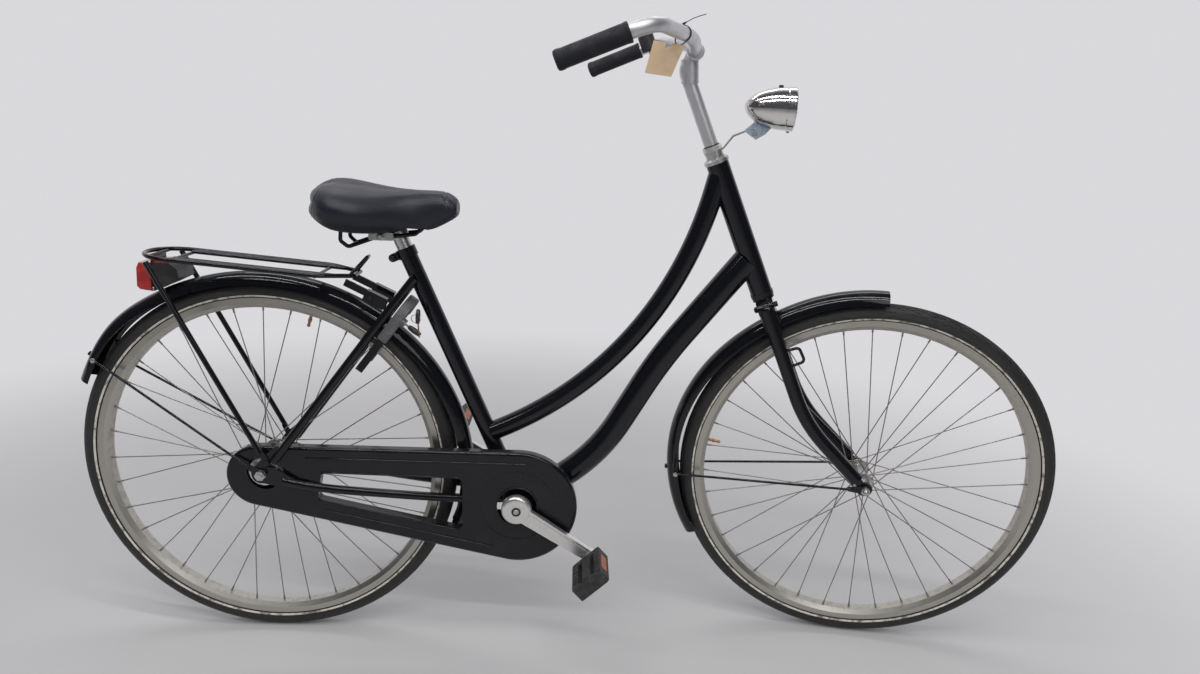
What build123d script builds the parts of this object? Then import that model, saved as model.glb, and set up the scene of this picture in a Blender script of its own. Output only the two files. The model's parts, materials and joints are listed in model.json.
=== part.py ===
"""Step-through city bicycle: looped frame, full chain case, rear carrier, full mudguards.

Millimetres, +X forward, +Y to the rider's left, +Z up, with the wheels' plane upright.
Everything is laid out from the rear wheel's centre, and moved at the end so that the
origin is the top of the saddle. What steers is laid out in a frame of its own, with its
Z up the steering axis and its X forward, and is then turned by the steering's rest angle.
"""
import math
import os
from build123d import *

# Wheels
TYRE_RADIUS = 356.0          # rolling radius, 28 inch wheel
TYRE_WIDTH = 38.0
TYRE_WALL = 3.5
RIM_RADIUS = 326.0           # outer edge of the rim's flanges
RIM_DEPTH = 19.0             # flange edge to the well that the spokes enter
RIM_WIDTH = 30.0
RIM_WALL = 1.8
SPOKE_COUNT = 36
SPOKE_RADIUS = 1.0
SPOKE_CROSSINGS = 3
SPOKE_INSIDE = 2.6           # inner spokes' centres to the middle of the hub's flange
SPOKE_OUTSIDE = 3.7          # outer spokes' centres, at their heads
FLANGE_THICKNESS = 3.0
AXLE_RADIUS = 4.8
RUNNING_GAP = 0.05           # radial clearance of a bearing

# Frame
WHEELBASE = 1151.0           # with the front wheel straight ahead
HEAD_ANGLE = 66.74
FORK_RAKE = 66.1
BRACKET_X = 476.0
BRACKET_Z = -60.0
BRACKET_RADIUS = 22.0
BRACKET_WIDTH = 73.4
SEAT_ANGLE = 66.8
SEAT_FOOT_X = 472.0            # where the seat tube's axis crosses the bracket's height
SEAT_TUBE_LENGTH = 527.0
SEAT_TUBE_RADIUS = 16.0
HEAD_TUBE_RADIUS = 20.4
HEAD_TUBE_BOTTOM = 394.0     # up the steering axis, from hub height
HEAD_TUBE_TOP = 647.0
UPPER_TUBE_RADIUS = 19.0
LOWER_TUBE_RADIUS = 25.4
TUBE_WALL = 1.6
STAY_RADIUS = 8.2
CHAIN_STAY_RADIUS = 8.3
DROPOUT_INNER = 59.0         # half the width between the rear dropouts
DROPOUT_THICKNESS = 5.0

# Steering
STEER_REST = -10.6           # the front wheel stands turned to the right
BAR_TURN = 4.4               # the bar stands a little out of line with the wheel
STEERER_RADIUS = 14.3
STEERER_WALL = 1.6
BAR_RADIUS = 11.1
GRIP_RADIUS = 14.8
GRIP_LENGTH = 113.0
FORK_INNER = 50.0            # half the width between the front dropouts
BLADE_RADIUS = 13.2

# Chain side
CASE_INNER = 37.0
CASE_OUTER = 56.0
CASE_WALL = 1.5
CASE_FRONT_RADIUS = 113.0
CASE_FRONT_CENTRE = (478, -64)
CASE_REAR_RADIUS = 61.0
CASE_REAR_CENTRE = (-9, -9)
CASE_ROUNDING = 6.0            # the pressed outer edge
BEAD_HEIGHT = 0.9              # the beads that stiffen the case's face
CRANK_LENGTH = 170.0
CRANK_ANGLE = -33.0          # the right crank, from straight ahead
PEDAL_ANGLE = -42.5          # how the pedals hang, front end up

COLLAR_HEIGHT = 18.0           # the seat tube's clamp
COLLAR_EAR_REACH = 27.0
COLLAR_SLOT = 2.0
SEAT_GAP = 0.2               # clearance between pieces that sit against each other
STAY_END = 2.0               # thickness of a wire stay's flattened end
STAY_END_GAP = 0.1
SOFT_GAP = 0.3                 # between pieces that only lie near each other
BRIDGE_ANGLE = 53.0            # the seat stays' bridge, round the wheel from forward
BRIDGE_RADIUS = 6.0
BRIDGE_GUARD_RADIUS = 375.0    # the mudguard's crown where the bridge holds it
CARRIER_EYELET = (12, 24)      # where the carrier's stay is screwed to the dropout

# Where the axes are
HEAD = math.radians(HEAD_ANGLE)
AXIS_X = WHEELBASE - FORK_RAKE / math.sin(HEAD)
FRONT_HUB_U = FORK_RAKE
FRONT_HUB_W = -(WHEELBASE - AXIS_X) * math.cos(HEAD)
STEER_FRAME = Plane(origin=(AXIS_X, 0, 0),
                    x_dir=(math.sin(HEAD), 0, math.cos(HEAD)),
                    z_dir=(-math.cos(HEAD), 0, math.sin(HEAD)))
BRACKET = Vector(BRACKET_X, 0, BRACKET_Z)
SEAT = math.radians(SEAT_ANGLE)
SEAT_UP = Vector(-math.cos(SEAT), 0, math.sin(SEAT))
SEAT_FOOT = Vector(SEAT_FOOT_X, 0, BRACKET_Z)
SEAT_TUBE_TOP = SEAT_FOOT + SEAT_UP * SEAT_TUBE_LENGTH
SADDLE_POINT = Vector(206, 0, 534)


def on_seat_tube(height):
    """A point on the seat tube's axis, at a height above the rear hub."""
    return Vector(SEAT_FOOT_X - (height - BRACKET_Z) / math.tan(SEAT), 0, height)


def on_steering_axis(distance):
    """A point on the steering axis, at a distance up it from hub height."""
    return Vector(AXIS_X - distance * math.cos(HEAD), 0, distance * math.sin(HEAD))


def rod(start, end, radius, end_radius=None):
    """A round bar from start to end, tapered if it has an end radius."""
    start, end = Vector(*start), Vector(*end)
    length = (end - start).length
    plane = Plane(origin=start, z_dir=end - start)
    if end_radius is None:
        shape = extrude(Circle(radius), length)
    else:
        shape = loft([Circle(radius), Pos(0, 0, length) * Circle(end_radius)])
    return plane.location * shape


def toward(start, end, distance):
    """A point at a distance from start on the way to end."""
    return start + (end - start).normalized() * distance


def pipe(path, radius, wall=0.0):
    """A tube along a path, solid where it has no wall."""
    section = Circle(radius)
    if wall:
        section -= Circle(radius - wall)
    return sweep(Plane(origin=path @ 0, z_dir=path % 0) * section, path=path)


def disc(radius, low, high, bore=0.0, centre=(0, 0)):
    """A disc or ring with its axis along Y, between two Y values."""
    shape = Circle(radius)
    if bore:
        shape -= Circle(bore)
    plane = Plane(origin=(centre[0], low, centre[1]), x_dir=(1, 0, 0), z_dir=(0, 1, 0))
    return plane.location * extrude(shape, high - low)


def hexagon(across, low, high, bore, centre=(0, 0)):
    """A hexagon nut with its axis along Y."""
    shape = RegularPolygon(across / 2, 6, major_radius=False) - Circle(bore)
    plane = Plane(origin=(centre[0], low, centre[1]), x_dir=(1, 0, 0), z_dir=(0, 1, 0))
    return plane.location * extrude(shape, high - low)


def both_sides(shape):
    """The right-hand piece and its mirror image on the left."""
    return [shape, mirror(shape, Plane.XZ)]


def side_plate(sketch, low, high):
    """A sketch drawn in X and Z, as a plate between two Y values."""
    plane = Plane(origin=(0, high, 0), x_dir=(1, 0, 0), z_dir=(0, -1, 0))
    return plane.location * extrude(sketch, high - low, dir=(0, 0, 1))


def steered(shape, turn=STEER_REST):
    """Moves a shape from the steering frame to the bicycle, turned to its rest angle."""
    return STEER_FRAME.location * Rot(0, 0, turn) * shape


# ---------------------------------------------------------------- wheels

def tyre():
    """Revolved casing: round outside, open towards the rim, with a bead on each side."""
    half = TYRE_WIDTH / 2
    middle = TYRE_RADIUS - half
    edge = RIM_RADIUS + 0.6
    mouth = RIM_WIDTH / 2 - RIM_WALL - SEAT_GAP
    bead = RIM_RADIUS - 9.0
    outer_y = math.sqrt(half ** 2 - (middle - edge) ** 2)
    inner = half - TYRE_WALL
    inner_low = middle - math.sqrt(inner ** 2 - (mouth - TYRE_WALL) ** 2)
    outline = Polyline((mouth, edge), (mouth, bead), (mouth - TYRE_WALL, bead),
                       (mouth - TYRE_WALL, inner_low))
    inside = ThreePointArc((mouth - TYRE_WALL, inner_low), (0, middle + inner),
                           (-mouth + TYRE_WALL, inner_low))
    outline_far = Polyline((-mouth + TYRE_WALL, inner_low), (-mouth + TYRE_WALL, bead),
                           (-mouth, bead), (-mouth, edge), (-outer_y, edge))
    outside = ThreePointArc((-outer_y, edge), (0, TYRE_RADIUS), (outer_y, edge))
    closing = Line((outer_y, edge), (mouth, edge))
    face = make_face([outline, inside, outline_far, outside, closing])
    plane = Plane(origin=(0, 0, 0), x_dir=(0, 1, 0), z_dir=(1, 0, 0))
    return revolve(plane * face, Axis.Y)


def rim():
    """Single-walled steel rim: two flanges, sloping shoulders and a flat well."""
    half = RIM_WIDTH / 2
    well = RIM_RADIUS - RIM_DEPTH
    shoulder = RIM_RADIUS - 11.0
    well_half = 8.5
    outer = [(-half, RIM_RADIUS), (-half, shoulder), (-well_half, well),
             (well_half, well), (half, shoulder), (half, RIM_RADIUS)]
    inner = [(half - RIM_WALL, RIM_RADIUS), (half - RIM_WALL, shoulder + 0.8),
             (well_half - 0.8, well + RIM_WALL), (-well_half + 0.8, well + RIM_WALL),
             (-half + RIM_WALL, shoulder + 0.8), (-half + RIM_WALL, RIM_RADIUS)]
    face = make_face(Polyline(*outer, *inner, close=True))
    plane = Plane(origin=(0, 0, 0), x_dir=(0, 1, 0), z_dir=(1, 0, 0))
    return revolve(plane * face, Axis.Y)


def spokes(flange_radius, flange_y):
    """Laced spokes: each leaves the hub nearly along its flange and crosses three others."""
    rim_end = RIM_RADIUS - RIM_DEPTH - SEAT_GAP
    per_side = SPOKE_COUNT // 2
    step = 360.0 / per_side
    lead = SPOKE_CROSSINGS * step
    pieces = []
    for side in (-1, 1):
        for number in range(per_side):
            leading = number % 2 == 0
            rim_angle = step * number + (step / 2 if side > 0 else 0)
            hub_angle = rim_angle + (lead if leading else -lead)
            offset = SPOKE_OUTSIDE if leading else -SPOKE_INSIDE
            a, b = math.radians(hub_angle), math.radians(rim_angle)
            start = (flange_radius * math.cos(a), side * (flange_y + offset),
                     flange_radius * math.sin(a))
            end = (rim_end * math.cos(b), side * 2.6, rim_end * math.sin(b))
            pieces.append(rod(start, end, SPOKE_RADIUS))
    return pieces


def hub(flange_radius, flange_y, barrel_radius, half_width):
    """Hub shell: a waisted barrel between two spoke flanges, bored for the axle."""
    half_flange = FLANGE_THICKNESS / 2
    profile = Polyline((0, AXLE_RADIUS + RUNNING_GAP), (half_width, AXLE_RADIUS + RUNNING_GAP),
                       (half_width, 11), (flange_y + half_flange + 3, 13),
                       (flange_y + half_flange, barrel_radius + 1),
                       (flange_y + half_flange, flange_radius + 2),
                       (flange_y - half_flange, flange_radius + 2),
                       (flange_y - half_flange, barrel_radius + 1),
                       (flange_y - half_flange - 5, barrel_radius),
                       (0, barrel_radius), close=True)
    half = revolve(Plane(origin=(0, 0, 0), x_dir=(0, 1, 0), z_dir=(1, 0, 0)) * make_face(profile),
                   Axis.Y)
    return half + mirror(half, Plane.XZ)


FRONT_HUB = dict(flange_radius=19.0, flange_y=30.0, barrel_radius=12.0)
REAR_HUB = dict(flange_radius=31.0, flange_y=30.0, barrel_radius=27.0)
FRONT_HUB_HALF = FORK_INNER - 5.0
REAR_HUB_HALF = DROPOUT_INNER - 5.0


# ---------------------------------------------------------------- frame

def head_tube_blank():
    return rod(on_steering_axis(HEAD_TUBE_BOTTOM), on_steering_axis(HEAD_TUBE_TOP),
               HEAD_TUBE_RADIUS)


def seat_tube_blank():
    return rod(SEAT_FOOT, SEAT_TUBE_TOP, SEAT_TUBE_RADIUS)


def bracket_blank():
    return disc(BRACKET_RADIUS, -BRACKET_WIDTH / 2, BRACKET_WIDTH / 2,
                centre=(BRACKET_X, BRACKET_Z))


def head_tube():
    bore = rod(on_steering_axis(HEAD_TUBE_BOTTOM - 5), on_steering_axis(HEAD_TUBE_TOP + 5),
               HEAD_TUBE_RADIUS - TUBE_WALL)
    return head_tube_blank() - bore


def headset_cups():
    """Pressed cups at both ends of the head tube, bored for the steerer."""
    cover = HEAD_TUBE_TOP + 6
    lower = rod(on_steering_axis(HEAD_TUBE_BOTTOM - LOWER_CUP_HEIGHT),
                on_steering_axis(HEAD_TUBE_BOTTOM), HEAD_TUBE_RADIUS + 0.9)
    upper = rod(on_steering_axis(HEAD_TUBE_TOP), on_steering_axis(cover), CUP_RADIUS)
    upper += rod(on_steering_axis(cover), on_steering_axis(HEAD_TUBE_TOP + UPPER_CUP_HEIGHT),
                 CUP_RADIUS, NECK_RADIUS)
    shaft = rod(on_steering_axis(HEAD_TUBE_BOTTOM - 30), on_steering_axis(HEAD_TUBE_TOP + 30),
                STEERER_RADIUS + RUNNING_GAP)
    return [lower - shaft, upper - shaft]


LOWER_CUP_HEIGHT = 7.0
UPPER_CUP_HEIGHT = 10.0
CUP_RADIUS = 22.5
NECK_RADIUS = 17.0
TUBE_INSET = 8.0               # a loop tube's end, short of the axis that it is coped to


def upper_tube_path():
    foot = on_seat_tube(68.8)
    top = on_steering_axis(631.2)
    corner = Vector(743.9, 0, 216.5)
    return FilletPolyline(toward(foot, corner, TUBE_INSET), corner,
                          toward(top, corner, TUBE_INSET), radius=679.6)


def upper_tube():
    """The looped upper tube, one long bend from the seat tube to the head tube."""
    path = upper_tube_path()
    tube = pipe(path, UPPER_TUBE_RADIUS, TUBE_WALL)
    return tube - head_tube_blank() - seat_tube_blank()


def lower_tube_path():
    low = Vector(604.4, 0, -14.9)
    high = Vector(742.1, 0, 229.5)
    top = on_steering_axis(464.5)
    return FilletPolyline(BRACKET, low, high, toward(top, high, TUBE_INSET), radius=[350, 905])


def lower_tube():
    """The oversize main tube, bent one way under the loop and back to the bottom bracket."""
    tube = pipe(lower_tube_path(), LOWER_TUBE_RADIUS, TUBE_WALL)
    return tube - head_tube_blank() - bracket_blank() - seat_tube_blank()


def seat_tube():
    """Seat tube, ending in a slotted collar with a round bolt ear behind it."""
    bore = rod(SEAT_FOOT, SEAT_TUBE_TOP + SEAT_UP * 5, SEAT_TUBE_RADIUS - TUBE_WALL)
    tube = seat_tube_blank() - bore - bracket_blank()
    place = Plane(origin=SEAT_TUBE_TOP - SEAT_UP * COLLAR_HEIGHT,
                  x_dir=(-math.sin(SEAT), 0, -math.cos(SEAT)), z_dir=SEAT_UP)
    collar = extrude(Circle(SEAT_TUBE_RADIUS + 2.2), COLLAR_HEIGHT)
    ear = make_hull([(Pos(COLLAR_EAR_REACH, COLLAR_HEIGHT / 2) * Circle(7.5)).edge(),
                     (Pos(8, COLLAR_HEIGHT / 2) * Circle(7.5)).edge()])
    ear = Plane.XZ.location * extrude(ear, 8, both=True)
    slot = Pos(COLLAR_EAR_REACH, 0, COLLAR_HEIGHT / 2) * Box(40, COLLAR_SLOT, 60)
    return tube + (place.location * (collar + ear - slot) - bore)


def bottom_bracket():
    """Bottom bracket shell with its cups, bored for the spindle."""
    half = BRACKET_WIDTH / 2
    shell = disc(BRACKET_RADIUS, -half, half, SPINDLE_RADIUS + RUNNING_GAP,
                 centre=(BRACKET_X, BRACKET_Z))
    hollow = disc(BRACKET_RADIUS - 3, -half + 8, half - 8, centre=(BRACKET_X, BRACKET_Z))
    return shell - hollow


SPINDLE_RADIUS = 8.0


def chain_stay_path():
    return Spline((38, -62.5, -13), (95, -57.5, -26.5), (203, -47.5, -40.5),
                  (272, -41.5, -47.6), (366, -34, -54.6), (466, -25, -57))


def chain_stays():
    """Chain stays, from the dropouts past the tyre to the bottom bracket."""
    stay = pipe(chain_stay_path(), CHAIN_STAY_RADIUS, TUBE_WALL)
    stay = stay - bracket_blank() - dropout_blank()
    return both_sides(stay)


def seat_stay_path():
    top = on_seat_tube(372) + Vector(-3, -21.7, 0)
    return FilletPolyline(Vector(24, -64.9, 26), Vector(59, -64.9, 72.5),
                          Vector(224.5, -38, 294.5), top, radius=150)


def seat_stays():
    """Seat stays, from the dropouts round the mudguard to the seat tube, with their bridge."""
    stay = pipe(seat_stay_path(), STAY_RADIUS, TUBE_WALL)
    stay = stay - seat_tube_blank() - dropout_blank()
    turn = math.radians(BRIDGE_ANGLE)
    reach = BRIDGE_GUARD_RADIUS + SOFT_GAP + BRIDGE_RADIUS
    bridge = disc(BRIDGE_RADIUS, -37, 37, centre=(reach * math.cos(turn), reach * math.sin(turn)))
    return stay + mirror(stay, Plane.XZ) + bridge


def dropout_blank():
    """Right dropout plate: slotted ear at the axle, with a tab up each stay."""
    body = Circle(19) + Polygon((-8, 17), (10, 15), (44, 46), (30, 56), (4, 34), align=None)
    body += Polygon((0, 18), (0, -18), (30, -25), (60, -28), (62, -11), (30, 10), align=None)
    return side_plate(body, -DROPOUT_INNER - DROPOUT_THICKNESS, -DROPOUT_INNER)


def dropouts():
    plate = dropout_blank() - disc(AXLE_RADIUS + SEAT_GAP, -80, -50)
    return both_sides(plate)


REAR_STAY_Y = DROPOUT_INNER + DROPOUT_THICKNESS + STAY_END_GAP
REAR_NUT_Y = REAR_STAY_Y + STAY_END + STAY_END_GAP
FRONT_STAY_Y = FORK_INNER + 5.0 + STAY_END_GAP
FRONT_NUT_Y = FRONT_STAY_Y + STAY_END + STAY_END_GAP


def wire_stay(inner_y, end, radius, centre=(0, 0), hole=AXLE_RADIUS + SEAT_GAP):
    """A stay on the right, from a flat eye at its foot out to a point."""
    angle = math.atan2(end.Z - centre[1], end.X - centre[0])
    reach = hole + 24
    tongue = make_hull([Circle(hole + 4).edge(), (Pos(reach, 0) * Circle(4.5)).edge()])
    tongue -= Circle(hole)
    eye = side_plate(Rot(0, 0, math.degrees(angle)) * tongue, -inner_y - STAY_END, -inner_y)
    foot = Vector(centre[0] + (reach - 5) * math.cos(angle), -inner_y - radius,
                  centre[1] + (reach - 5) * math.sin(angle))
    return Pos(centre[0], 0, centre[1]) * eye + rod(foot, end, radius)


def rear_axle():
    """Axle with its cones and nuts, one turned piece."""
    end = REAR_NUT_Y + 12
    shaft = disc(AXLE_RADIUS, -end, end)
    shoulder = disc(10, DROPOUT_INNER - 4.5, DROPOUT_INNER - SEAT_GAP)
    washer = disc(9.5, REAR_NUT_Y, REAR_NUT_Y + 1.5)
    nut = hexagon(17, REAR_NUT_Y + 1.5, REAR_NUT_Y + 8.5, AXLE_RADIUS - 0.5)
    for piece in (shoulder, nut, washer):
        shaft += piece + mirror(piece, Plane.XZ)
    return shaft


# ---------------------------------------------------------------- mudguards

GUARD_HALF = 25.0
GUARD_DEPTH = 23.0
GUARD_SHEET = 1.0
GUARD_STAY_RADIUS = 2.4
# the crown's distance from its wheel's centre, by the angle round the wheel from forward
REAR_GUARD = ((-21, 386), (8, 386.5), (32, 380), (BRIDGE_ANGLE, BRIDGE_GUARD_RADIUS),
              (75, 373), (99, 374.5), (120, 380), (137, 386.5), (147, 383), (154.5, 380))
FRONT_GUARD = ((66.5, 379), (90, 380.5), (103, 380.5), (120, 384), (144, 386), (160, 382),
               (182.5, 372))


def on_crown(angle, radius, depth=0.0, side_y=0.0):
    """A point by its angle round the wheel and its depth below the crown."""
    turn = math.radians(angle)
    return Vector((radius - depth) * math.cos(turn), side_y, (radius - depth) * math.sin(turn))


def mudguard(crown):
    """Rolled sheet: a half-round section swept along the crown's curve."""
    path = Spline(*[on_crown(angle, radius) for angle, radius in crown])
    outer = ThreePointArc((-GUARD_HALF, GUARD_DEPTH), (0, 0), (GUARD_HALF, GUARD_DEPTH))
    inside = GUARD_HALF - GUARD_SHEET
    inner = ThreePointArc((inside, GUARD_DEPTH), (0, GUARD_SHEET), (-inside, GUARD_DEPTH))
    face = make_face([outer, Line((GUARD_HALF, GUARD_DEPTH), (inside, GUARD_DEPTH)),
                      inner, Line((-inside, GUARD_DEPTH), (-GUARD_HALF, GUARD_DEPTH))])
    section = Plane(origin=path @ 0, x_dir=(0, 1, 0), z_dir=path % 0) * face
    return sweep(section, path=path)


def guard_stay(end_angle, crown_radius, inner_y, centre=(0, 0)):
    """Wire stay from the axle to the side of the guard's skirt."""
    end = on_crown(end_angle, crown_radius, GUARD_DEPTH - 4,
                   -GUARD_HALF - GUARD_STAY_RADIUS - SOFT_GAP)
    end += Vector(centre[0], 0, centre[1])
    return wire_stay(inner_y, end, GUARD_STAY_RADIUS, centre)


def rear_fender():
    return mudguard(REAR_GUARD)


def rear_fender_stays():
    return both_sides(guard_stay(146.2, 383.3, REAR_STAY_Y))


# ---------------------------------------------------------------- carrier

RACK_ROD = 4.0
INNER_ROD = 3.0
RACK_HALF = 57.0
RACK_FRONT_X = 176.0
RACK_REAR_X = -197.0
RACK_REAR_Z = 403.5
RACK_FRONT_Z = 373.3
RACK_STAY_RADIUS = 4.8
BAIL_APEX = (197, 406)         # the wire loop standing at the carrier's front
STRUT_HEIGHT = 13.0
STRUT_THICKNESS = 4.0
LIGHT_PLATE_X = -180.0
LIGHT_TOP = 388.0
LIGHT_FOOT = 336.0
LIGHT_HALF = 33.0


def rack_height(x):
    share = (x - RACK_REAR_X) / (RACK_FRONT_X - RACK_REAR_X)
    return RACK_REAR_Z + (RACK_FRONT_Z - RACK_REAR_Z) * share


def rack():
    """Carrier deck: an outer rod looped round the back, inner rods, and a bail in front."""
    tilt = math.atan2(RACK_FRONT_Z - RACK_REAR_Z, RACK_FRONT_X - RACK_REAR_X)
    plane = Plane(origin=(RACK_REAR_X, 0, RACK_REAR_Z), x_dir=(math.cos(tilt), 0, math.sin(tilt)),
                  z_dir=(-math.sin(tilt), 0, math.cos(tilt)))
    length = (RACK_FRONT_X - RACK_REAR_X) / math.cos(tilt)
    loop = FilletPolyline((length, -22), (length - 60, -RACK_HALF), (0, -RACK_HALF), (0, RACK_HALF),
                          (length - 60, RACK_HALF), (length, 22), radius=[60, 56.5, 56.5, 60])
    deck = pipe(loop, RACK_ROD)
    deck += rod((length, -22, 0), (length, 22, 0), RACK_ROD)
    for side in (-1, 1):
        for inset in (11, 22):
            y = side * (RACK_HALF - inset)
            deck += rod((62, y, 0), (length - 52 + inset, y, 0), INNER_ROD)
    for x, half in ((LIGHT_PLATE_X - RACK_REAR_X, 40), (62, RACK_HALF - 1), (length - 60, RACK_HALF - 1)):
        deck += rod((x, -half, -2.0), (x, half, -2.0), INNER_ROD)
    apex_y = 9.0
    bail = FilletPolyline((RACK_FRONT_X - 8, -26, rack_height(RACK_FRONT_X)),
                          (BAIL_APEX[0], -apex_y, BAIL_APEX[1]), (BAIL_APEX[0], apex_y, BAIL_APEX[1]),
                          (RACK_FRONT_X - 8, 26, rack_height(RACK_FRONT_X)), radius=5)
    plate_top = rack_height(LIGHT_PLATE_X) - 2
    plate = Pos(LIGHT_PLATE_X, 0, (LIGHT_FOOT + plate_top) / 2) * Box(2.4, 52, plate_top - LIGHT_FOOT)
    return plane.location * deck + pipe(bail, INNER_ROD) + plate


def rack_stays():
    """Tubes with a flat eye, screwed to the dropouts and bent in under the outer rod."""
    x = -170.0
    end = Vector(x, -RACK_HALF - RACK_ROD - RACK_STAY_RADIUS - SOFT_GAP, rack_height(x) - 6)
    stay = wire_stay(REAR_STAY_Y, end, RACK_STAY_RADIUS, CARRIER_EYELET, 2.6)
    head = fillet(disc(5.5, -REAR_STAY_Y - STAY_END - 3, -REAR_STAY_Y, centre=CARRIER_EYELET).edges(), 0.8)
    return both_sides(stay + head)


def rack_struts():
    """Two flat bars from the carrier's front to the seat stays, with a clamp block on each."""
    front = Vector(RACK_FRONT_X - 12, 0, rack_height(RACK_FRONT_X) - RACK_ROD - SOFT_GAP)
    block = Vector(236, 0, 334)
    lean = math.atan2(block.Z - front.Z, block.X - front.X)
    bar = Pos(0, 0, -STRUT_HEIGHT / 2) * Box(82, STRUT_THICKNESS, STRUT_HEIGHT,
                                             align=(Align.MIN, Align.CENTER, Align.CENTER))
    clamp = Pos(62, 0, -10) * fillet(Box(42, 14, 22).edges().filter_by(Axis.Y), 3)
    strut = Pos(front.X, -30, front.Z) * Rot(0, -math.degrees(lean), 0) * (bar + clamp)
    strut -= pipe(seat_stay_path(), STAY_RADIUS + SEAT_GAP)
    strut = strut.solids().sort_by(SortBy.VOLUME)[-1]
    return both_sides(strut)


def rear_light():
    """Lens with a slanted foot behind the plate, and the lamp's body in front of it."""
    back = LIGHT_PLATE_X - 1.2 - SEAT_GAP
    lens = Polygon((back, LIGHT_FOOT), (back - 22, LIGHT_FOOT + 3), (back - 27, 345), (back - 25, 378),
                   (back - 20, LIGHT_TOP), (back, LIGHT_TOP), align=None)
    lens = side_plate(lens, -LIGHT_HALF, LIGHT_HALF)
    rear_corners = [edge for edge in lens.edges()
                    if abs(edge.center().Y) > LIGHT_HALF - 1 and edge.center().X < back - 10]
    lens = fillet(rear_corners, 5)
    front = LIGHT_PLATE_X + 1.2 + SEAT_GAP
    side = Polygon((front, 337), (front + 20, 345), (front + 46, 358), (front + 44, 376),
                   (front + 30, LIGHT_TOP), (front, LIGHT_TOP), align=None)
    side = fillet(side.vertices().sort_by(Axis.X)[-2:], 5)
    housing = side_plate(side, -LIGHT_HALF + 3, LIGHT_HALF - 3)
    return lens, housing


# ---------------------------------------------------------------- chain case and lock

def case_outline(shrink=0.0):
    rear = Pos(*CASE_REAR_CENTRE) * Circle(CASE_REAR_RADIUS - shrink)
    front = Pos(*CASE_FRONT_CENTRE) * Circle(CASE_FRONT_RADIUS - shrink)
    return make_hull([rear.edge(), front.edge()])


def case_window():
    """The opening between the chain's runs that shows the chain stay."""
    outline = Polygon((108, 0.5), (258, -2.5), (372, -4.6), (372, -111), (203, -75), (99, -52),
                      align=None)
    return fillet(outline.vertices(), 9)


def case_bead(start, end):
    """A raised bead pressed along the case's face."""
    line = make_hull([(Pos(*start) * Circle(2.4)).edge(), (Pos(*end) * Circle(2.4)).edge()])
    return side_plate(line, -CASE_OUTER - BEAD_HEIGHT, -CASE_OUTER + 0.5)


def chain_case():
    """Pressed case round the chain: a walled window, a mouth at the hub, beads on its face."""
    outer = side_plate(case_outline(), -CASE_OUTER, -CASE_INNER)
    outer = fillet(outer.faces().sort_by(Axis.Y)[0].edges(), CASE_ROUNDING)
    hollow = side_plate(case_outline(CASE_WALL), -CASE_OUTER + CASE_WALL, -CASE_INNER - CASE_WALL)
    hollow = fillet(hollow.faces().sort_by(Axis.Y)[0].edges(), CASE_ROUNDING - CASE_WALL)
    window = case_window()
    wall = side_plate(offset(window, CASE_WALL), -CASE_OUTER + 0.5, -CASE_INNER - 0.5)
    mouth = side_plate(Pos(4, 0) * Circle(34), -CASE_OUTER - 5, -CASE_INNER + 5)
    crank_place = Pos(BRACKET_X, BRACKET_Z)
    lip = disc(CRANK_HOLE + 3, -CASE_OUTER - 2.5, -CASE_OUTER + 0.5, centre=(BRACKET_X, BRACKET_Z))
    lip = fillet(lip.faces().sort_by(Axis.Y)[0].edges(), 1.4)
    ring = side_plate(crank_place * (Circle(72) - Circle(68)), -CASE_OUTER - BEAD_HEIGHT,
                      -CASE_OUTER + 0.5)
    shell = outer - hollow + wall + lip + ring
    shell += case_bead((80, 30.5), (494, 27)) + case_bead((110, -76), (430, -146))
    shell -= side_plate(window, -CASE_OUTER - 5, -CASE_INNER + 5)
    shell -= mouth
    shell -= side_plate(crank_place * Circle(CRANK_HOLE), -CASE_OUTER - 5, -CASE_OUTER + 5)
    # the inner wall lies against the bracket's end, and opens where the stay passes through
    stay_gap = Polygon((330, -33), (448, -38), (448, -76), (330, -72), align=None)
    shell -= side_plate(crank_place * Circle(SPINDLE_RADIUS + 6) + stay_gap, -CASE_INNER - 6,
                        -CASE_INNER + 5)
    shell -= pipe(chain_stay_path(), CHAIN_STAY_RADIUS + CASE_STAY_GAP)
    return shell.solids().sort_by(SortBy.VOLUME)[-1]


CRANK_HOLE = 38.0
CASE_STAY_GAP = 1.5
LOCK_HALF = 44.0
LOCK_INSIDE = 31.0
LOCK_TOP = (280, 331)
LOCK_LENGTH = 165.0
LOCK_COVER = 90.0              # how far the cover reaches down the right arm
LOCK_THICKNESS = 14.0


def lock_frame():
    """X across the bicycle, Y up the lock along the seat stays, from the arch's centre."""
    along = Vector(0.6, 0, 0.8)
    top = Vector(LOCK_TOP[0], 0, LOCK_TOP[1])
    return Plane(origin=top - along * LOCK_HALF, x_dir=(0, 1, 0), z_dir=(0.8, 0, -0.6)).location


def lock_arm(side, top, bottom):
    """An arm with a rounded foot, between two heights in the lock's frame."""
    width = LOCK_HALF - LOCK_INSIDE
    middle = side * (LOCK_HALF + LOCK_INSIDE) / 2
    arm = Pos(middle, (top + bottom) / 2) * Rectangle(width, top - bottom)
    return arm + Pos(middle, bottom) * Circle(width / 2)


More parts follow.
